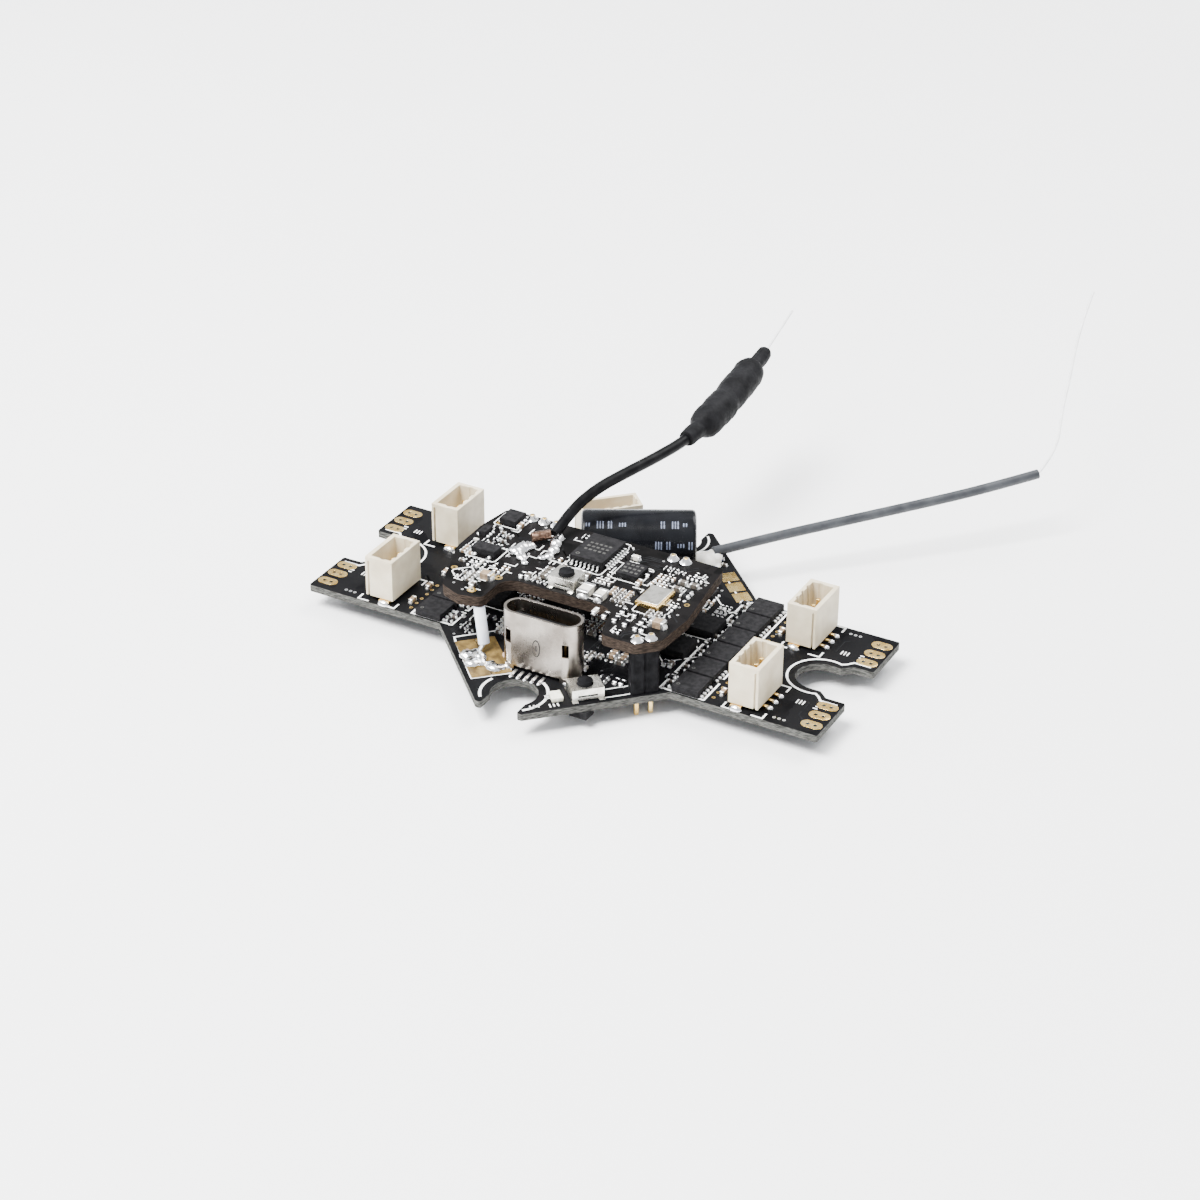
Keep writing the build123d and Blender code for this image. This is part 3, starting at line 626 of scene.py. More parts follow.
def make_antennas():
    """The coax with its shrink sleeve and bare tip, and the receiver's tube with its wire."""
    coax, centres = spline_curve("coax_cable", COAX_ROUTE, COAX_RADIUS, "coax_black")
    tip, _ = spline_curve("antenna_element", TIP_ROUTE, WIRE_RADIUS, "clear_wire")
    length = line_length(centres)
    start = length - SLEEVE_LENGTH
    sleeve = Builder()
    profile = [
        (start - 0.02, 0.7), (start, 0.9), (start + 0.25, 0.98), (start + 2.6, 1.02), (start + 3.4, 1.6),
        (start + 4.0, 1.78), (start + 8.2, 1.82), (start + 9.3, 1.66), (start + 10.2, 1.8),
        (start + 15.6, 1.78), (start + 16.5, 1.62), (start + 17.1, 1.02), (start + 17.6, 0.9),
        (length - 0.25, 0.86), (length - 0.05, 0.74), (length, 0.4),
    ]
    sleeve.add(lathe_along(centres, dense_profile(profile, 0.35), 36, 0.1))
    shrink = sleeve.make("shrink_sleeve", ["heat_shrink"], 60)
    tube, _ = spline_curve("receiver_sleeve", RECEIVER_ROUTE, TUBE_RADIUS, "grey_tube")
    wire, _ = spline_curve(
        "receiver_antenna", RECEIVER_WIRE_ROUTE, WIRE_RADIUS, "clear_wire"
    )
    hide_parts("antenna_coax")
    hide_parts("antenna_sleeve")
    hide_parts("antenna_tip")
    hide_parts("receiver_tube")
    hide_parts("receiver_wire")


make_antennas()


# ---- CAD nodes: their finish and softened edges ----
SOCKETS = [f"motor_socket_{place}" for place in ("front_left", "front_right", "rear_left", "rear_right")]
# Each material, the width in millimetres of its softened edges, and the nodes that have them.
FINISHES = [
    ("board_black", 0.05, ["main_board"]),
    ("video_black", 0.05, ["video_board"]),
    ("gold", 0.015, ["motor_pads", "rear_pads"]),
    ("gold", 0.03, ["camera_socket_pins", "motor_socket_pins"]),
    ("gold", 0.06, ["header_pins", "crystal_base"]),
    ("dull_gold", 0.015, ["battery_pads", "usb_contacts"]),
    ("solder", 0.06, ["header_solder"]),
    ("steel", 0.09, ["usb_shell"]),
    ("cover_steel", 0.05, ["crystal_lid", "boot_switch_cover", "video_switch_cover"]),
    ("black_plastic", 0.04, ["boot_switch_base", "video_switch_base"]),
    ("black_plastic", 0.05, ["header_housings", "usb_base"]),
    ("black_plastic", 0.08, ["usb_tongue"]),
    ("black_plastic", 0.09, ["boot_switch_plunger", "video_switch_plunger"]),
    ("tin", 0.0, ["capacitor_leads", "jumper_conductor", "boot_switch_dome", "video_switch_dome"]),
    ("tin", 0.02, ["mosfet_leads"]),
    ("tin", 0.03, ["osd_chip_legs"]),
    ("tin", 0.04, ["usb_tails"]),
    ("sleeve_black", 0.03, ["capacitor_sleeve"]),
    ("aluminium", 0.04, ["capacitor_can"]),
    ("rubber", 0.0, ["capacitor_bung"]),
    ("paper", 0.0, ["capacitor_winding"]),
    ("white_plastic", 0.04, ["jumper_insulation"]),
    ("copper", 0.05, ["antenna_braid"]),
    ("cream_plastic", 0.06, ["camera_socket"]),
    ("cream_plastic", 0.07, SOCKETS),
    ("chip_black", 0.05, ["motor_drivers", "gyro_chip", "receiver_chip", "transmitter_chip"]),
    ("chip_black", 0.06, ["flight_processor"]),
    ("chip_black", 0.07, ["mosfets", "regulators", "osd_chip"]),
    ("chip_black", 0.08, ["power_inductors"]),
    ("led_yellow", 0.07, ["status_led"]),
]
for finish, edge_width, finished_nodes in FINISHES:
    for node_name in finished_nodes:
        paint(node_name, finish, edge_width)


# ---- Small parts ----
TAN, DARK, TIN, GREY, PALE, CHIP = range(6)
PART_MATERIALS = ["ceramic_tan", "chip_black", "tin", "ceramic_grey", "ceramic_pale", "chip_black"]
CHIP_CELLS = 0.05  # share of the cells that hold one small chip
WIDE_CELLS = 0.45  # the cells up to this share hold six larger parts, and the rest twelve small ones
FIRST_BODY = 0.38  # share of the places whose part has the cell's first body colour
PARTS = 0.72  # share of the places that hold a part
PARTS_AND_PADS = 0.86  # the places up to this share hold two bare pads, and the rest are empty
PART_GAP = 0.07


def two_ended(builder, x, y, z, length, width, height, angle, body):
    """A ceramic capacitor or resistor: body, two plated ends and their solder."""
    builder.add(chip_box(x, y, z, length * 0.62, width * 0.96, height * 0.97, angle, 0.03), body)
    for end in (-1, 1):
        (cap_x, cap_y), (foot_x, foot_y) = placed(
            [(end * length * 0.385, 0), (end * length * 0.5, 0)], x, y, angle
        )
        builder.add(chip_box(cap_x, cap_y, z, length * 0.23, width, height, angle, 0.04), TIN)
        builder.add(bead(foot_x, foot_y, z, length * 0.16, width * 0.5, height * 0.6, angle, 10, 3), TIN)


def small_chip(builder, x, y, z, length, width, height, angle, legs):
    """A small leaded chip with legs and solder along its two long sides."""
    builder.add(chip_box(x, y, z + 0.05, length, width, height, angle, 0.06), CHIP)
    for side in (-1, 1):
        for index in range(legs):
            along = (index - (legs - 1) / 2) * length / legs
            (foot_x, foot_y), = placed([(along, side * (width / 2 + 0.12))], x, y, angle)
            builder.add(chip_box(foot_x, foot_y, z, 0.22, 0.36, 0.16, angle, 0.03), TIN)
            builder.add(bead(foot_x, foot_y, z, 0.17, 0.24, 0.12, angle, 10, 3), TIN)


def overlaps(box, blocked):
    """True if a plan box meets any of the blocked ones."""
    x0, y0, x1, y1 = box
    return any(x0 < bx1 and x1 > bx0 and y0 < by1 and y1 > by0 for bx0, by0, bx1, by1 in blocked)


def blocked_by(names, margin):
    """Plan boxes round the solids of CAD nodes."""
    out = []
    for name in names:
        for low, high in loose_boxes(name):
            out.append((low.x - margin, low.y - margin, high.x + margin, high.y + margin))
    return out


def half_reach(length, width, angle):
    """Half of what a turned rectangle covers along x and along y."""
    cosine = abs(math.cos(math.radians(angle)))
    sine = abs(math.sin(math.radians(angle)))
    return (length * cosine + width * sine) / 2, (length * sine + width * cosine) / 2


def fill_with_parts(builder, z, cells, inside, blocked, seed, density):
    """Rows of small parts in every free cell: passives, small chips and bare solder pads."""
    chance = random.Random(seed)
    used = list(blocked)
    for cell_x, cell_y in cells:
        kind = chance.random()
        angle = chance.choice((0, 90))
        bodies = chance.choice(((TAN, GREY), (DARK, DARK), (DARK, DARK), (GREY, DARK), (DARK, PALE)))
        if kind > density:
            continue
        if kind < CHIP_CELLS:
            spots = [(0, 0, 1.7, 1.1)]
        elif kind < WIDE_CELLS:
            spots = [(column * 1.3, row * 0.7, 1.0, 0.5) for column in (-0.5, 0.5) for row in (-1, 0, 1)]
        else:
            rows = (-1.5, -0.5, 0.5, 1.5)
            spots = [(column * 0.9, row * 0.52, 0.62, 0.32) for column in (-1, 0, 1) for row in rows]
        for offset_x, offset_y, length, width in spots:
            (x, y), = placed([(offset_x, offset_y)], cell_x, cell_y, angle)
            pick = chance.random()
            reach_x, reach_y = half_reach(length, width, angle)
            low_x, high_x = x - reach_x - PART_GAP, x + reach_x + PART_GAP
            low_y, high_y = y - reach_y - PART_GAP, y + reach_y + PART_GAP
            box = (low_x, low_y, high_x, high_y)
            corners = [(low_x, low_y), (high_x, low_y), (low_x, high_y), (high_x, high_y)]
            if overlaps(box, used) or not all(inside(px, py) for px, py in corners):
                continue
            used.append(box)
            if length > 1.2:
                small_chip(builder, x, y, z, length - 0.1, width - 0.2, 0.6, angle, 3)
            elif pick < PARTS:
                body = bodies[pick > FIRST_BODY]
                height = width * (0.7 if body == DARK else 1.0)
                two_ended(builder, x, y, z, length * 0.94, width, height, angle, body)
            elif pick < PARTS_AND_PADS:
                for end in (-1, 1):
                    (px, py), = placed([(end * 0.32 * length, 0)], x, y, angle)
                    builder.add(bead(px, py, z, 0.2 * length, 0.42 * width, 0.1, angle, 10, 3), TIN)


def in_polygon(outline):
    """A test of whether a plan point is inside an outline."""
    def inside(x, y):
        found = False
        for (x0, y0), (x1, y1) in zip(outline, outline[1:] + outline[:1]):
            if (y0 > y) != (y1 > y) and x < (x1 - x0) * (y - y0) / (y1 - y0) + x0:
                found = not found
        return found
    return inside


DIAMOND = 23.9
END_NOTCH_Y = 18.03
SIDE_NOTCH_X = 25.7
ARM_REACH = 30.2
ARM_HALF = 10.2
END_REACH = 20.6
NOTCH_KEEP_OUT = 3.9
SIDE_NOTCH_HALF = 4.4


def on_main_board(x, y, margin=0.45):
    """True well inside the main board's outline and clear of its notches."""
    in_arm = abs(x) < ARM_REACH - margin and abs(y) < ARM_HALF - margin
    in_diamond = abs(x) + abs(y) < DIAMOND - 1.5 * margin and abs(y) < END_REACH
    if not (in_arm or in_diamond):
        return False
    if math.hypot(x, abs(y) - END_NOTCH_Y) < NOTCH_KEEP_OUT:
        return False
    if abs(y) > END_NOTCH_Y and abs(x) < NOTCH_KEEP_OUT:
        return False
    if abs(x) > SIDE_NOTCH_X and abs(y) < SIDE_NOTCH_HALF:
        return False
    return math.hypot(abs(x) - SIDE_NOTCH_X, y) > NOTCH_KEEP_OUT


VIDEO_OUTLINE = [
    (-14.1, 5.0), (-14.7, 1.0), (-14.6, -4.4), (-12.0, -11.3), (-9.6, -12.3), (-7.7, -11.7),
    (-7.7, -7.2), (5.5, -7.2), (7.4, -12.2), (10.6, -12.2), (12.4, -10.4), (12.8, -5.7), (12.1, 0.0),
    (11.5, 5.0),
]


def grid(x0, x1, y0, y1, step_x, step_y):
    """Cell centres of a block grid, row by row."""
    rows = int((y1 - y0) / step_y) + 1
    columns = int((x1 - x0) / step_x) + 1
    return [(x0 + column * step_x, y0 + row * step_y) for row in range(rows) for column in range(columns)]


VIDEO_BUSY = [
    "osd_chip", "osd_chip_legs", "transmitter_chip", "regulators", "crystal_base", "video_switch_cover",
    "header_solder", "antenna_solder", "antenna_braid",
]
MAIN_BUSY = [
    "mosfets", "mosfet_leads", "motor_drivers", "header_housings", "usb_shell", "usb_tails",
    "camera_socket", "boot_switch_cover", "battery_pads", "rear_pads", "status_led", "receiver_glue",
    "motor_pads", "motor_socket_pins", "capacitor_leads", "jumper_insulation", *SOCKETS,
]
UNDER_BUSY = [
    "flight_processor", "gyro_chip", "receiver_chip", "power_inductors", "header_solder",
    "capacitor_leads", "header_pins",
]
# Plan boxes that stay free of small parts.
VIDEO_FREE = [(2.0, 3.2, 12.0, 6.0), (-9.8, -4.6, -4.7, 4.0)]
MAIN_FREE = [
    (-31, -10.2, -18.9, 10.2), (18.9, -10.2, 31, 10.2), (12.2, -10.2, 13.6, 10.2),
    (-13.6, -10.2, -12.2, 10.2), (-2.6, -15.4, 2.2, -13), (-6.5, 6.0, 5.5, 17.0),
]


def make_small_parts():
    """The parts that the CAD has as blocks, then the crowd of small ones round them."""
    video = Builder()
    main = Builder()
    for node, body in (("ceramic_capacitors", TAN), ("chip_resistors", DARK)):
        for low, high in loose_boxes(node):
            size = high - low
            middle = (low + high) / 2
            angle = 0 if size.x > size.y else 90
            builder = video if low.z > BOARD_TOP + 1 else main
            kind = PALE if builder is video and 0 < middle.x < 4.5 else body
            two_ended(
                builder, middle.x, middle.y, low.z, max(size.x, size.y), min(size.x, size.y), size.z,
                angle, kind,
            )
    cad_parts = ["ceramic_capacitors", "chip_resistors"]
    fill_with_parts(
        video, VIDEO_TOP, grid(-13.8, 12.5, -11.4, 4.6, 2.68, 2.2), in_polygon(VIDEO_OUTLINE),
        blocked_by(VIDEO_BUSY + cad_parts, 0.06) + VIDEO_FREE, 7, 1.0,
    )
    near = blocked_by(MAIN_BUSY, 0.15) + blocked_by(cad_parts, 0.12) + MAIN_FREE
    fill_with_parts(
        main, BOARD_TOP, grid(-15.5, 16, -16.5, 16.5, 2.7, 2.3), on_main_board, near, 21, 0.9,
    )
    video_parts = video.make("video_board_parts", PART_MATERIALS, 35)
    main_parts = main.make("main_board_parts", PART_MATERIALS, 35)
    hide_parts(*cad_parts)
    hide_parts(*cad_parts)
    under = Builder(hang=BOARD_UNDER)
    fill_with_parts(
        under, BOARD_UNDER, grid(-19, 19, -15, 15, 2.9, 2.6), on_main_board,
        blocked_by(UNDER_BUSY, 0.25), 33, 0.45,
    )
    under.make("underside_parts", PART_MATERIALS, 35)


make_small_parts()


# ---- Transistor rows: the small parts and solder beside each transistor ----
LEAD_PITCH = 0.65
LEAD_REACH = 1.72
ROW_PART_REACH = 2.35


def make_transistor_rows():
    """Legs round the regulators, and the solder and small parts beside each transistor."""
    rows = Builder()
    for low, high in loose_boxes("regulators"):
        middle = (low + high) / 2
        tall = high.y - low.y > high.x - low.x
        for side in (-1, 1):
            for index in range(3 if side > 0 else 2):
                shift = (index - (1 if side > 0 else 0.5)) * (0.8 if side > 0 else 1.6)
                x = middle.x + (side * (high.x - low.x) / 2 if tall else shift * 1.1)
                y = middle.y + (shift * 0.9 if tall else side * (high.y - low.y) / 2)
                reach = (0.5, 0.3) if tall else (0.3, 0.5)
                rows.add(chip_box(x, y, VIDEO_TOP, *reach, 0.2, 0, 0.04), TIN)
                rows.add(bead(x, y, VIDEO_TOP, reach[0] * 0.75, reach[1] * 0.75, 0.14), TIN)
    for low, high in loose_boxes("mosfets"):
        middle = (low + high) / 2
        side = 1 if middle.x > 0 else -1
        inner = middle.x - side * ROW_PART_REACH
        for offset in (-0.95, 0.0, 0.95):
            colour = DARK if offset else GREY
            two_ended(rows, inner, middle.y + offset, BOARD_TOP, 0.66, 0.34, 0.3, 0, colour)
        for index in range(4):
            y = middle.y + (index - 1.5) * LEAD_PITCH
            for edge in (-1, 1):
                rows.add(bead(middle.x + edge * LEAD_REACH, y, BOARD_TOP, 0.2, 0.19, 0.24, 0, 12, 4), TIN)
    rows.make("transistor_row_parts", PART_MATERIALS, 35)


make_transistor_rows()


# ---- Solder at the sockets ----
def make_socket_solder():
    """Fillets at every contact foot and end anchor of the motor sockets."""
    solder = Builder()
    for low, high in loose_boxes("motor_socket_pins"):
        middle = (low + high) / 2
        size = high - low
        if size.z > 1:
            outer = high.x if middle.x > 0 else low.x
            solder.add(bead(outer, middle.y, BOARD_TOP, 0.42, 0.32, 0.3), 0)
        else:
            outward = 1 if (middle.y > 0) == (abs(middle.y) > 6.7) else -1
            edge = high.y if outward > 0 else low.y
            solder.add(bead(middle.x, edge, BOARD_TOP, 0.75, 0.4, 0.5), 0)
    solder.make("socket_solder", ["solder"], 40)


make_socket_solder()


# ---- White ink on the main board ----
NOTCH_INK_RADIUS = 3.35


def make_main_ink():
    """Rings round the notches, outlines of the battery pads, sockets and transistor rows."""
    lines = []
    lines.append((arc(0, -END_NOTCH_Y, NOTCH_INK_RADIUS + 0.15, 222, 160), 0.3))
    lines.append((arc(0, -END_NOTCH_Y, NOTCH_INK_RADIUS + 0.1, -46, 62), 0.3))
    lines.append((arc(0, END_NOTCH_Y, NOTCH_INK_RADIUS, -35, 44), 0.22))
    lines.append((arc(0, END_NOTCH_Y, NOTCH_INK_RADIUS, 136, 215), 0.22))
    for side in (-1, 1):
        centre_turn = 0 if side > 0 else 180
        ring = arc(side * SIDE_NOTCH_X, 0, NOTCH_INK_RADIUS, centre_turn + 72, centre_turn + 288, 48)
        lead = [(side * 29.6, side * 4.15), (side * 27.75, side * 4.15), (side * 27.2, side * 3.5)]
        back = [(x, -y) for x, y in reversed(lead)]
        lines.append((lead + ring + back, 0.24))
        lines.append(([(side * 12.45, -9.85), (side * 17.4, -9.85), (side * 17.4, -6.3)], 0.22))
        lines.append(([(side * 17.4, -5.4), (side * 17.4, -1.6)], 0.2))
        lines.append(([(side * 17.4, -0.8), (side * 17.4, 3.0)], 0.2))
        lines.append(([(side * 17.4, 3.8), (side * 17.4, 9.85), (side * 12.45, 9.85)], 0.22))
        for index in range(6):
            y = (index - 2.5) * 3.39
            lines.append(([
                (side * 12.85, y + 1.4), (side * 12.4, y + 1.4), (side * 12.4, y - 1.4),
                (side * 12.75, y - 1.5),
            ], 0.18))
        for end in (-1, 1):
            x0, x1 = side * 19.55, side * 24.05
            low, high = end * 6.7 - 3.3, end * 6.7 + 3.3
            for x, reach in ((x0, 1.0), (x1, -1.3)):
                lines.append(([(x + side * reach, low), (x, low), (x, low + 1.0)], 0.2))
                lines.append(([(x + side * reach, high), (x, high), (x, high - 1.0)], 0.2))
            mark = side * 26.1
            for offset in (-0.35, 0.0, 0.35):
                lines.append(([(mark + offset, end * 5.0), (mark + offset, end * 5.7)], 0.13))
    lines.append(([
        (-10.5, -12.3), (-5.15, -17.85), (-2.15, -14.95), (-2.75, -14.2),
    ], 0.22))
    lines.append(([(-6.7, -8.4), (-7.2, -8.0), (-10.9, -11.8), (-10.5, -12.3)], 0.2))
    lines.append(([(-6.5, -13.1), (-5.2, -14.3)], 0.14))
    for x, y, angle, length, width in (
        (8.9, -12.9, 45, 3.4, 1.5), (3.6, -16.9, 45, 1.0, 0.5), (10.0, 9.9, -45, 7.2, 2.3),
        (11.2, 2.7, 0, 4.1, 4.1), (10.4, -2.4, 45, 4.3, 4.3), (-11.2, -2.7, 0, 4.1, 4.1),
    ):
        corners = placed(
            [(length / 2 * px, width / 2 * py) for px, py in ((-1, -1), (1, -1), (1, 1), (-1, 1))],
            x, y, angle,
        )
        lines.append((corners + [corners[0]], 0.15))
    ink = Builder()
    for points, width in lines:
        ink.add(strip(points, width, BOARD_TOP))
    chance = random.Random(5)
    for x, y, angle in (
        (3.1, -19.3, 45), (4.7, -18.1, 45), (14.6, -9.2, 0), (-14.3, -9.2, 0), (27.9, 5.3, 90),
        (27.9, -5.3, 90), (-27.9, 5.3, 90), (-27.9, -5.3, 90), (7.6, 13.1, -45), (5.2, -12.1, 45),
    ):
        for index in range(3):
            reach = chance.uniform(0.3, 0.6)
            across = index * 0.42 - 0.42
            ink.add(strip(placed([(across, -reach / 2), (across, reach / 2)], x, y, angle), 0.15, BOARD_TOP))
    ink.make("main_board_ink", ["silk"])


def make_video_ink():
    """Outlines of the chips and part cells on the video board."""
    lines = []
    for x, y, length, width, angle in (
        (3.95, -0.3, 3.5, 3.5, 0), (-1.0, 1.3, 4.4, 7.2, 0), (-12.6, 3.3, 3.2, 3.0, 0),
        (-11.6, -3.9, 3.6, 3.0, 0), (9.2, -5.4, 3.6, 3.0, 0), (-11.6, -8.6, 2.2, 1.5, 45),
    ):
        corners = placed(clipped_rectangle(length, width, 0.25), x, y, angle)
        lines.append((corners + [corners[0]], 0.13))
    chance = random.Random(29)
    inside = in_polygon(VIDEO_OUTLINE)
    for _ in range(80):
        x, y = chance.uniform(-13.5, 12.0), chance.uniform(-11.5, 3.0)
        turn = chance.choice((0, 90, 180, 270))
        corner = placed([(0, chance.uniform(0.5, 1.3)), (0, 0), (chance.uniform(0.5, 1.3), 0)], x, y, turn)
        if all(inside(px, py) for px, py in corner):
            lines.append((corner, 0.12))
    ink = Builder()
    for points, width in lines:
        ink.add(strip(points, width, VIDEO_TOP))
    ink.make("video_board_ink", ["silk"])


make_main_ink()
make_video_ink()


# ---- Plated holes, bare copper and buried traces ----
def make_vias():
    """Small plated rings and solder dots in the free areas of both boards."""
    rings = Builder()
    chance = random.Random(11)
    on_video_board = in_polygon(VIDEO_OUTLINE)
    for side in (-1, 1):
        for index in range(18):
            y = -8.9 + index * 1.05
            if abs(y) > 2.9:
                rings.add(washer(side * 18.05, y, BOARD_TOP, 0.09, 0.2, 0.02, 12), 0)
        for end in (-1, 1):
            for index in range(3):
                x = side * (25.0 + 0.55 * index)
                rings.add(washer(x, end * 9.2, BOARD_TOP, 0.08, 0.18, 0.02, 12), 1)
    for x, y, radius in (
        (-8.9, -11.4, 0.5), (-7.75, -7.9, 0.42), (-12.9, -8.3, 0.36), (-13.6, 2.2, 0.34), (11.9, -3.2, 0.3),
    ):
        rings.add(washer(x, y, VIDEO_TOP, 0.16, radius, 0.03, 24), 0)
    for _ in range(70):
        x, y = chance.uniform(-14, 12.5), chance.uniform(-12, 4.6)
        if on_video_board(x, y):
            rings.add(washer(x, y, VIDEO_TOP, 0.06, 0.15, 0.015, 10), 1)
    for _ in range(150):
        x, y = chance.uniform(-19, 19), chance.uniform(-17, 17)
        if on_main_board(x, y):
            rings.add(washer(x, y, BOARD_TOP, 0.06, 0.15, 0.012, 10), 1)
    rings.make("plated_holes", ["gold", "tin"], 40)


def make_traces():
    """Copper tracks that stand slightly proud under the solder mask, in 45 degree runs."""
    chance = random.Random(17)
    for name, z, inside, spread, count, hang in (
        ("main_board_tracks", BOARD_TOP, on_main_board, (29, 19), 170, None),
        ("video_board_tracks", VIDEO_TOP, in_polygon(VIDEO_OUTLINE), (14, 12), 60, None),
        ("underside_tracks", BOARD_UNDER, on_main_board, (29, 19), 150, BOARD_UNDER),
        ("video_underside_tracks", VIDEO_UNDER, in_polygon(VIDEO_OUTLINE), (14, 12), 50, VIDEO_UNDER),
    ):
        tracks = Builder(hang=hang)
        for _ in range(count):
            x, y = chance.uniform(-spread[0], spread[0]), chance.uniform(-spread[1], spread[1])
            turn = chance.choice(range(0, 360, 45))
            lanes = chance.choice((1, 1, 2, 3))
            route = [(x, y)]
            for _ in range(chance.choice((2, 3, 4))):
                length = chance.uniform(0.7, 2.6)
                x += length * math.cos(math.radians(turn))
                y += length * math.sin(math.radians(turn))
                route.append((x, y))
                turn += chance.choice((-45, 45))
            for lane in range(lanes):
                shifted = [(px + 0.27 * lane, py - 0.27 * lane) for px, py in route]
                if all(inside(px, py) for px, py in shifted):
                    tracks.add(strip(shifted, 0.13, z, 0.012))
        tracks.make(name, ["track_mask"])


make_vias()
make_traces()


# ---- Soldered joints that are lumps ----
SMOOTH_FACTOR = 0.6
SMOOTH_TURNS = 14
DENT_DEPTH = 0.04
ROUND = (1, 1, 1)


def lump(name, balls, floor_z, voxel, material):
    """One smooth lump through balls of (x, y, lift over the floor, radius, stretch), flat below."""
    mesh = bmesh.new()
    for x, y, lift, radius, stretch in balls:
        made = bmesh.ops.create_icosphere(mesh, subdivisions=3, radius=radius)
        bmesh.ops.scale(mesh, vec=stretch, verts=made["verts"])
        bmesh.ops.translate(mesh, vec=(x, y, floor_z + lift), verts=made["verts"])
    for vertex in mesh.verts:
        vertex.co.z = max(vertex.co.z, floor_z)
        vertex.co *= MM
    data = bpy.data.meshes.new(name)
    mesh.to_mesh(data)
    mesh.free()
    made = new_object(name, data)
    remesh = made.modifiers.new("remesh", "REMESH")
    remesh.mode = "VOXEL"
    remesh.voxel_size = voxel * MM
    smooth = made.modifiers.new("smooth", "SMOOTH")
    smooth.factor = SMOOTH_FACTOR
    smooth.iterations = SMOOTH_TURNS
    evaluated = made.evaluated_get(bpy.context.evaluated_depsgraph_get())
    final = bpy.data.meshes.new_from_object(evaluated)
    made.modifiers.clear()
    made.data = final
    for vertex in final.vertices:
        place = vertex.co / MM
        dent = noise.noise(place * 0.7) * DENT_DEPTH
        vertex.co += Vector((dent, dent, -dent)) * MM
        vertex.co.z = max(vertex.co.z, floor_z * MM)
    final.materials.clear()
    final.materials.append(MATERIALS[material])
    final.shade_smooth()
    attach(made, BODY)
    return made


def make_lumps():
    """The solder at the coax, the battery pads and the USB shell, the flux marks and the glue."""
    coax = lump("coax_solder", [
        (-8.9, -2.5, 0.05, 0.8, (1.1, 0.9, 0.85)),
        (-8.5, -1.6, 0.1, 0.85, (1, 1, 0.95)),
        (-8.0, -0.8, 0.1, 0.65, (1, 1, 0.95)),
        (-7.7, -3.2, 0, 0.7, (1, 0.9, 0.8)),
        (-6.9, -4.0, 0, 0.5, (1, 0.9, 0.8)),
        (-6.9, 3.0, 0.1, 0.6, ROUND),
        (-6.2, 1.9, 0.15, 0.75, ROUND),
        (-5.85, 0.8, 0.15, 0.75, ROUND),
        (-5.4, -0.4, 0.1, 0.72, (1, 1, 0.95)),
        (-5.3, -1.6, 0, 0.6, (1, 1, 0.9)),
        (-5.9, -2.3, 0, 0.5, (1.1, 0.9, 0.8)),
    ], VIDEO_TOP, 0.11, "solder")
    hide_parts("antenna_solder")
    battery = lump("battery_joints", [
        (-7.7, -14.5, 0.1, 0.85, (1.1, 1, 0.75)),
        (-7.0, -13.8, 0.2, 0.75, (1, 1, 0.8)),
        (-6.3, -14.3, 0.2, 0.8, (1, 1, 0.85)),
        (-6.5, -15.5, 0.1, 0.85, (1.1, 1, 0.7)),
        (-5.7, -14.9, 0, 0.6, (1, 1, 0.8)),
        (-4.1, -15.2, 0.05, 0.85, (1.1, 0.9, 0.7)),
        (-3.5, -14.6, 0, 0.6, (1, 1, 0.7)),
        (-4.8, -14.4, 0, 0.55, (1, 1, 0.6)),
    ], BOARD_TOP, 0.11, "solder")
    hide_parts("battery_solder")
    residue = Builder()
    residue.add(bead(-7.9, -13.8, BOARD_TOP + 0.04, 0.9, 0.35, 0.05, -45, 20, 3))
    residue.add(bead(-5.3, -16.7, BOARD_TOP, 0.8, 0.3, 0.04, -45, 20, 3))
    residue.add(bead(-4.3, -12.3, BOARD_TOP + 0.04, 0.7, 0.4, 0.05, -45, 20, 3))
    residue.make("flux_marks", ["flux"], 40)
    glue = lump("receiver_anchor", [
        (4.9, 14.6, 0.35, 1.3, (1.1, 1, 0.9)),
        (5.7, 15.4, 0.7, 1.0, ROUND),
        (4.4, 15.4, 0, 0.8, ROUND),
        (6.3, 14.9, 0, 0.6, (1, 1, 0.7)),
    ], BOARD_TOP, 0.12, "glue")
    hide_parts("receiver_glue")
    shell = Builder()
    for x, y, length, width, angle, height in (
        (-3.2, -14.25, 0.55, 0.25, 0, 0.35), (4.0, -14.25, 0.55, 0.25, 0, 0.35),
        (-3.6, -11.0, 0.5, 0.25, 0, 0.35), (4.0, -11.0, 0.5, 0.25, 0, 0.35),
    ):
        shell.add(bead(x, y, BOARD_TOP, length, width, height, angle))
    for low, high in loose_boxes("usb_tails"):
        x = (low.x + high.x) / 2
        shell.add(bead(x, low.y - 0.1, BOARD_TOP, 0.23, 0.42, 0.2, 0, 14, 4))
        shell.add(bead(x, low.y + 0.45, BOARD_TOP, 0.16, 0.6, 0.2, 0, 14, 4))
    shell.make("usb_joints", ["solder"], 40)


make_lumps()


# ---- Header joints on the video board: tall cones round the pin ends ----
def make_header_cones():
    """A cone of solder round each pin, above the video board and below the main board."""
    cones = Builder()
    for low, high in loose_boxes("header_pins"):
        x, y = (low.x + high.x) / 2, (low.y + high.y) / 2
        for z, flip in ((VIDEO_TOP, 1), (BOARD_UNDER, -1)):
            rings = []
            for radius, lift in ((0.66, 0.0), (0.6, 0.06), (0.44, 0.24), (0.36, 0.42), (0.3, 0.52)):
                rings.append([(px, py, z + flip * lift) for px, py in arc(x, y, radius, 0, 342, 20)])
            cones.add(layers(rings if flip > 0 else rings[::-1]))
    made = cones.make("header_joints", ["solder"], 40)
    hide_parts("header_solder")


make_header_cones()


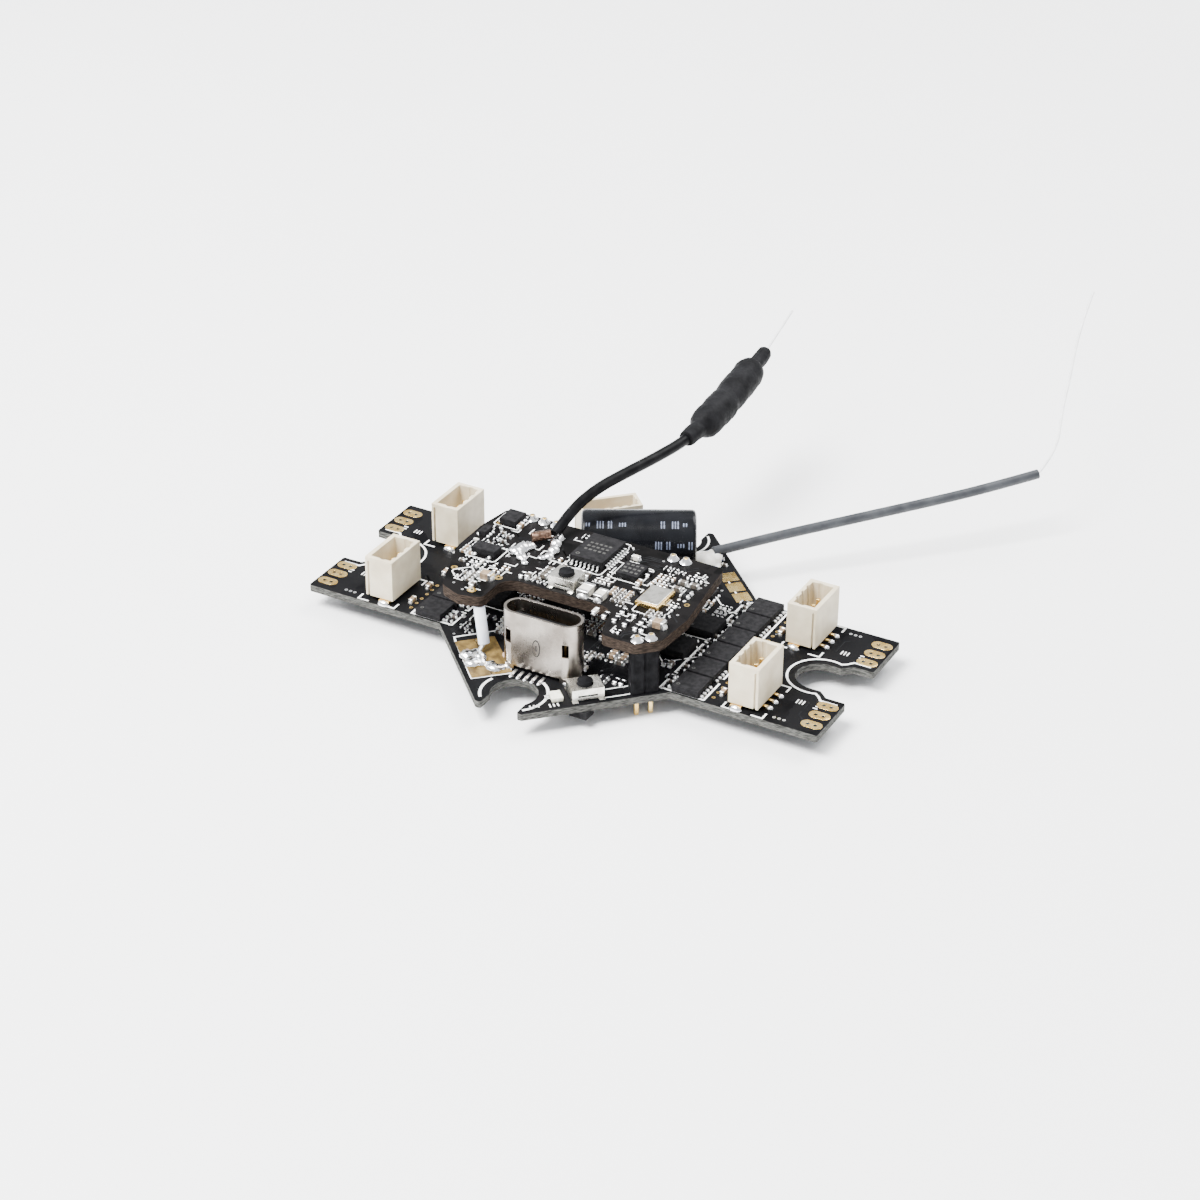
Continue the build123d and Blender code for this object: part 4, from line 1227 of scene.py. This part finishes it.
# ---- Print on the capacitor sleeve and marks on the chips ----
CAN_START = Vector((-7.0, 8.35, 5.85))
CAN_TURN = math.radians(28.7)
CAN_AXIS = Vector((math.cos(CAN_TURN), math.sin(CAN_TURN), 0))
CAN_SIDE = Vector((math.sin(CAN_TURN), -math.cos(CAN_TURN), 0))
CAN_RADIUS = 3.15


def sleeve_patch(builder, along0, along1, turn0, turn1):
    """A thin patch of ink on the sleeve, between two distances and two angles from the top."""
    count = max(2, int(abs(turn1 - turn0) / 5) + 2)
    points = []
    for radius in (CAN_RADIUS - 0.01, CAN_RADIUS + 0.015):
        for along in (along0, along1):
            for index in range(count):
                turn = math.radians(turn0 + (turn1 - turn0) * index / (count - 1))
                ray = CAN_SIDE * math.sin(turn) + Vector((0, 0, 1)) * math.cos(turn)
                points.append(tuple(CAN_START + CAN_AXIS * along + ray * radius))
    builder.add((points, ribbon_faces(count)))


def make_sleeve_print():
    """Generic dashes and frames in two rows, and a polarity stripe at the back."""
    ink = Builder()
    rows = ((34, (0.5, 1.7, 2.9, 4.1, 8.6, 9.8, 11.0)), (76, (2.9, 8.0, 9.2, 10.4, 11.6)))
    for row_turn, starts in rows:
        for index, along in enumerate(starts):
            for low in (0.0, 0.3, 0.6)[: 2 + index % 2]:
                reach = 8 if (index + int(low * 10)) % 3 else 4
                sleeve_patch(ink, along + low, along + low + 0.15, row_turn - reach, row_turn + reach)
    for index in range(5):
        sleeve_patch(ink, 1.2 + index * 2.2, 2.4 + index * 2.2, 262, 274)
    ink.make("sleeve_print", ["sleeve_ink"])


def make_chip_marks():
    """Generic rows of short bars and a pin one dot on the larger chips."""
    marks = Builder()
    for node, count in (("osd_chip", 5), ("transmitter_chip", 4)):
        low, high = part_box(node)
        middle = (low + high) / 2 / MM
        top = high.z / MM
        for row in range(3):
            for index in range(count):
                x = middle.x + (index - (count - 1) / 2) * 0.55
                y = middle.y + (row - 1) * 0.7
                marks.add(strip([(x - 0.17, y), (x + 0.17, y)], 0.3, top, 0.004))
        marks.add(washer(low.x / MM + 0.6, low.y / MM + 0.6, top, 0.12, 0.24, 0.004, 20))
    for node in ("motor_drivers", "mosfets"):
        for low, high in loose_boxes(node):
            marks.add(washer(low.x + 0.55, low.y + 0.55, high.z, 0.1, 0.2, 0.004, 20))
    for node in ("flight_processor", "receiver_chip"):
        low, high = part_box(node)
        middle = (low + high) / 2 / MM
        for row in range(3):
            for index in range(6):
                x = middle.x + (index - 2.5) * 0.5
                bar = strip([(x - 0.15, 0), (x + 0.15, 0)], 0.3, 0, 0.004)
                points = [(px, middle.y + row * 0.7 - 0.7 + py, low.z / MM - pz) for px, py, pz in bar[0]]
                marks.add((points, [face[::-1] for face in bar[1]]))
    marks.make("chip_marks", ["chip_mark"])


make_sleeve_print()
make_chip_marks()


# ---- Details of the USB shell ----
def oval_ring(x, face_y, way, z, outer, inner, depth, around=28):
    """An upright oval ring on a face that looks along y, with half sizes outer and inner."""
    points = []
    for (half_x, half_z), proud in ((outer, -0.03), (outer, depth), (inner, depth), (inner, -0.03)):
        points += [(x + px, face_y + way * proud, z + pz) for px, pz in oval(half_x, half_z, around)]
    faces = ring_faces(around)
    return points, faces if way < 0 else [face[::-1] for face in faces]


def make_usb_details():
    """The stamped oval on the shell's front and back: a ring of painted shade for the groove, a raised steel
    lip inside it, and a small ring of painted shade in the middle.
    """
    low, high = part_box("usb_shell")
    low, high = low / MM, high / MM
    middle_x = (low.x + high.x) / 2
    stamped = Builder()
    for face_y, way in ((low.y, -1), (high.y, 1)):
        for outer, inner, depth, index in (
            ((0.46, 1.0), (0.36, 0.88), 0.015, 1), ((0.36, 0.88), (0.28, 0.76), 0.05, 0),
            ((0.14, 0.34), (0.07, 0.25), 0.015, 1),
        ):
            stamped.add(oval_ring(middle_x, face_y, way, low.z + 3.3, outer, inner, depth), index)
    # The dark rings are painted shade in the stamped groove, not a colour of the steel.
    stamped.make("usb_stamping", ["steel", "groove_shade"], 50)


make_usb_details()


# ---- Stage and light ----
FLOOR_REACH = 3.0
WORLD_COLOUR = (0.95, 0.97, 1.0, 1)
WORLD_STRENGTH = 1.15


def make_stage():
    """A pale paper floor."""
    mesh = bpy.data.meshes.new("floor")
    corners = [(x * FLOOR_REACH, y * FLOOR_REACH, 0) for x, y in ((-1, -1), (1, -1), (1, 1), (-1, 1))]
    mesh.from_pydata(corners, [], [(0, 1, 2, 3)])
    floor = new_object("floor", mesh)
    paper = surface("floor_paper", (0.93, 0.93, 0.93), (0.95, 0.95, 0.95), 60, (0.7, 0.85), 2, 0.01)
    mesh.materials.append(paper)


def make_light(name, azimuth, elevation, distance, size, power):
    """A square soft box aimed at the board, placed by the direction that it shines from."""
    flat = math.cos(math.radians(elevation))
    way = Vector((
        math.sin(math.radians(azimuth)) * flat,
        -math.cos(math.radians(azimuth)) * flat,
        math.sin(math.radians(elevation)),
    ))
    data = bpy.data.lights.new(name, "AREA")
    data.shape = "SQUARE"
    data.size = size
    data.energy = power
    light = new_object(name, data)
    light.location = way * distance
    light.rotation_euler = (-way).to_track_quat("-Z", "Y").to_euler()


def make_world():
    """The even light of the studio."""
    world = bpy.data.worlds.new("studio")
    world.use_nodes = True
    background = world.node_tree.nodes["Background"]
    background.inputs["Color"].default_value = WORLD_COLOUR
    background.inputs["Strength"].default_value = WORLD_STRENGTH
    bpy.context.scene.world = world


make_stage()
make_light("key", -35, 62, 0.6, 0.3, 15.0)
make_light("side", -80, 35, 0.7, 0.3, 2.0)
make_light("rim", 160, 50, 0.7, 0.4, 6.0)
make_world()
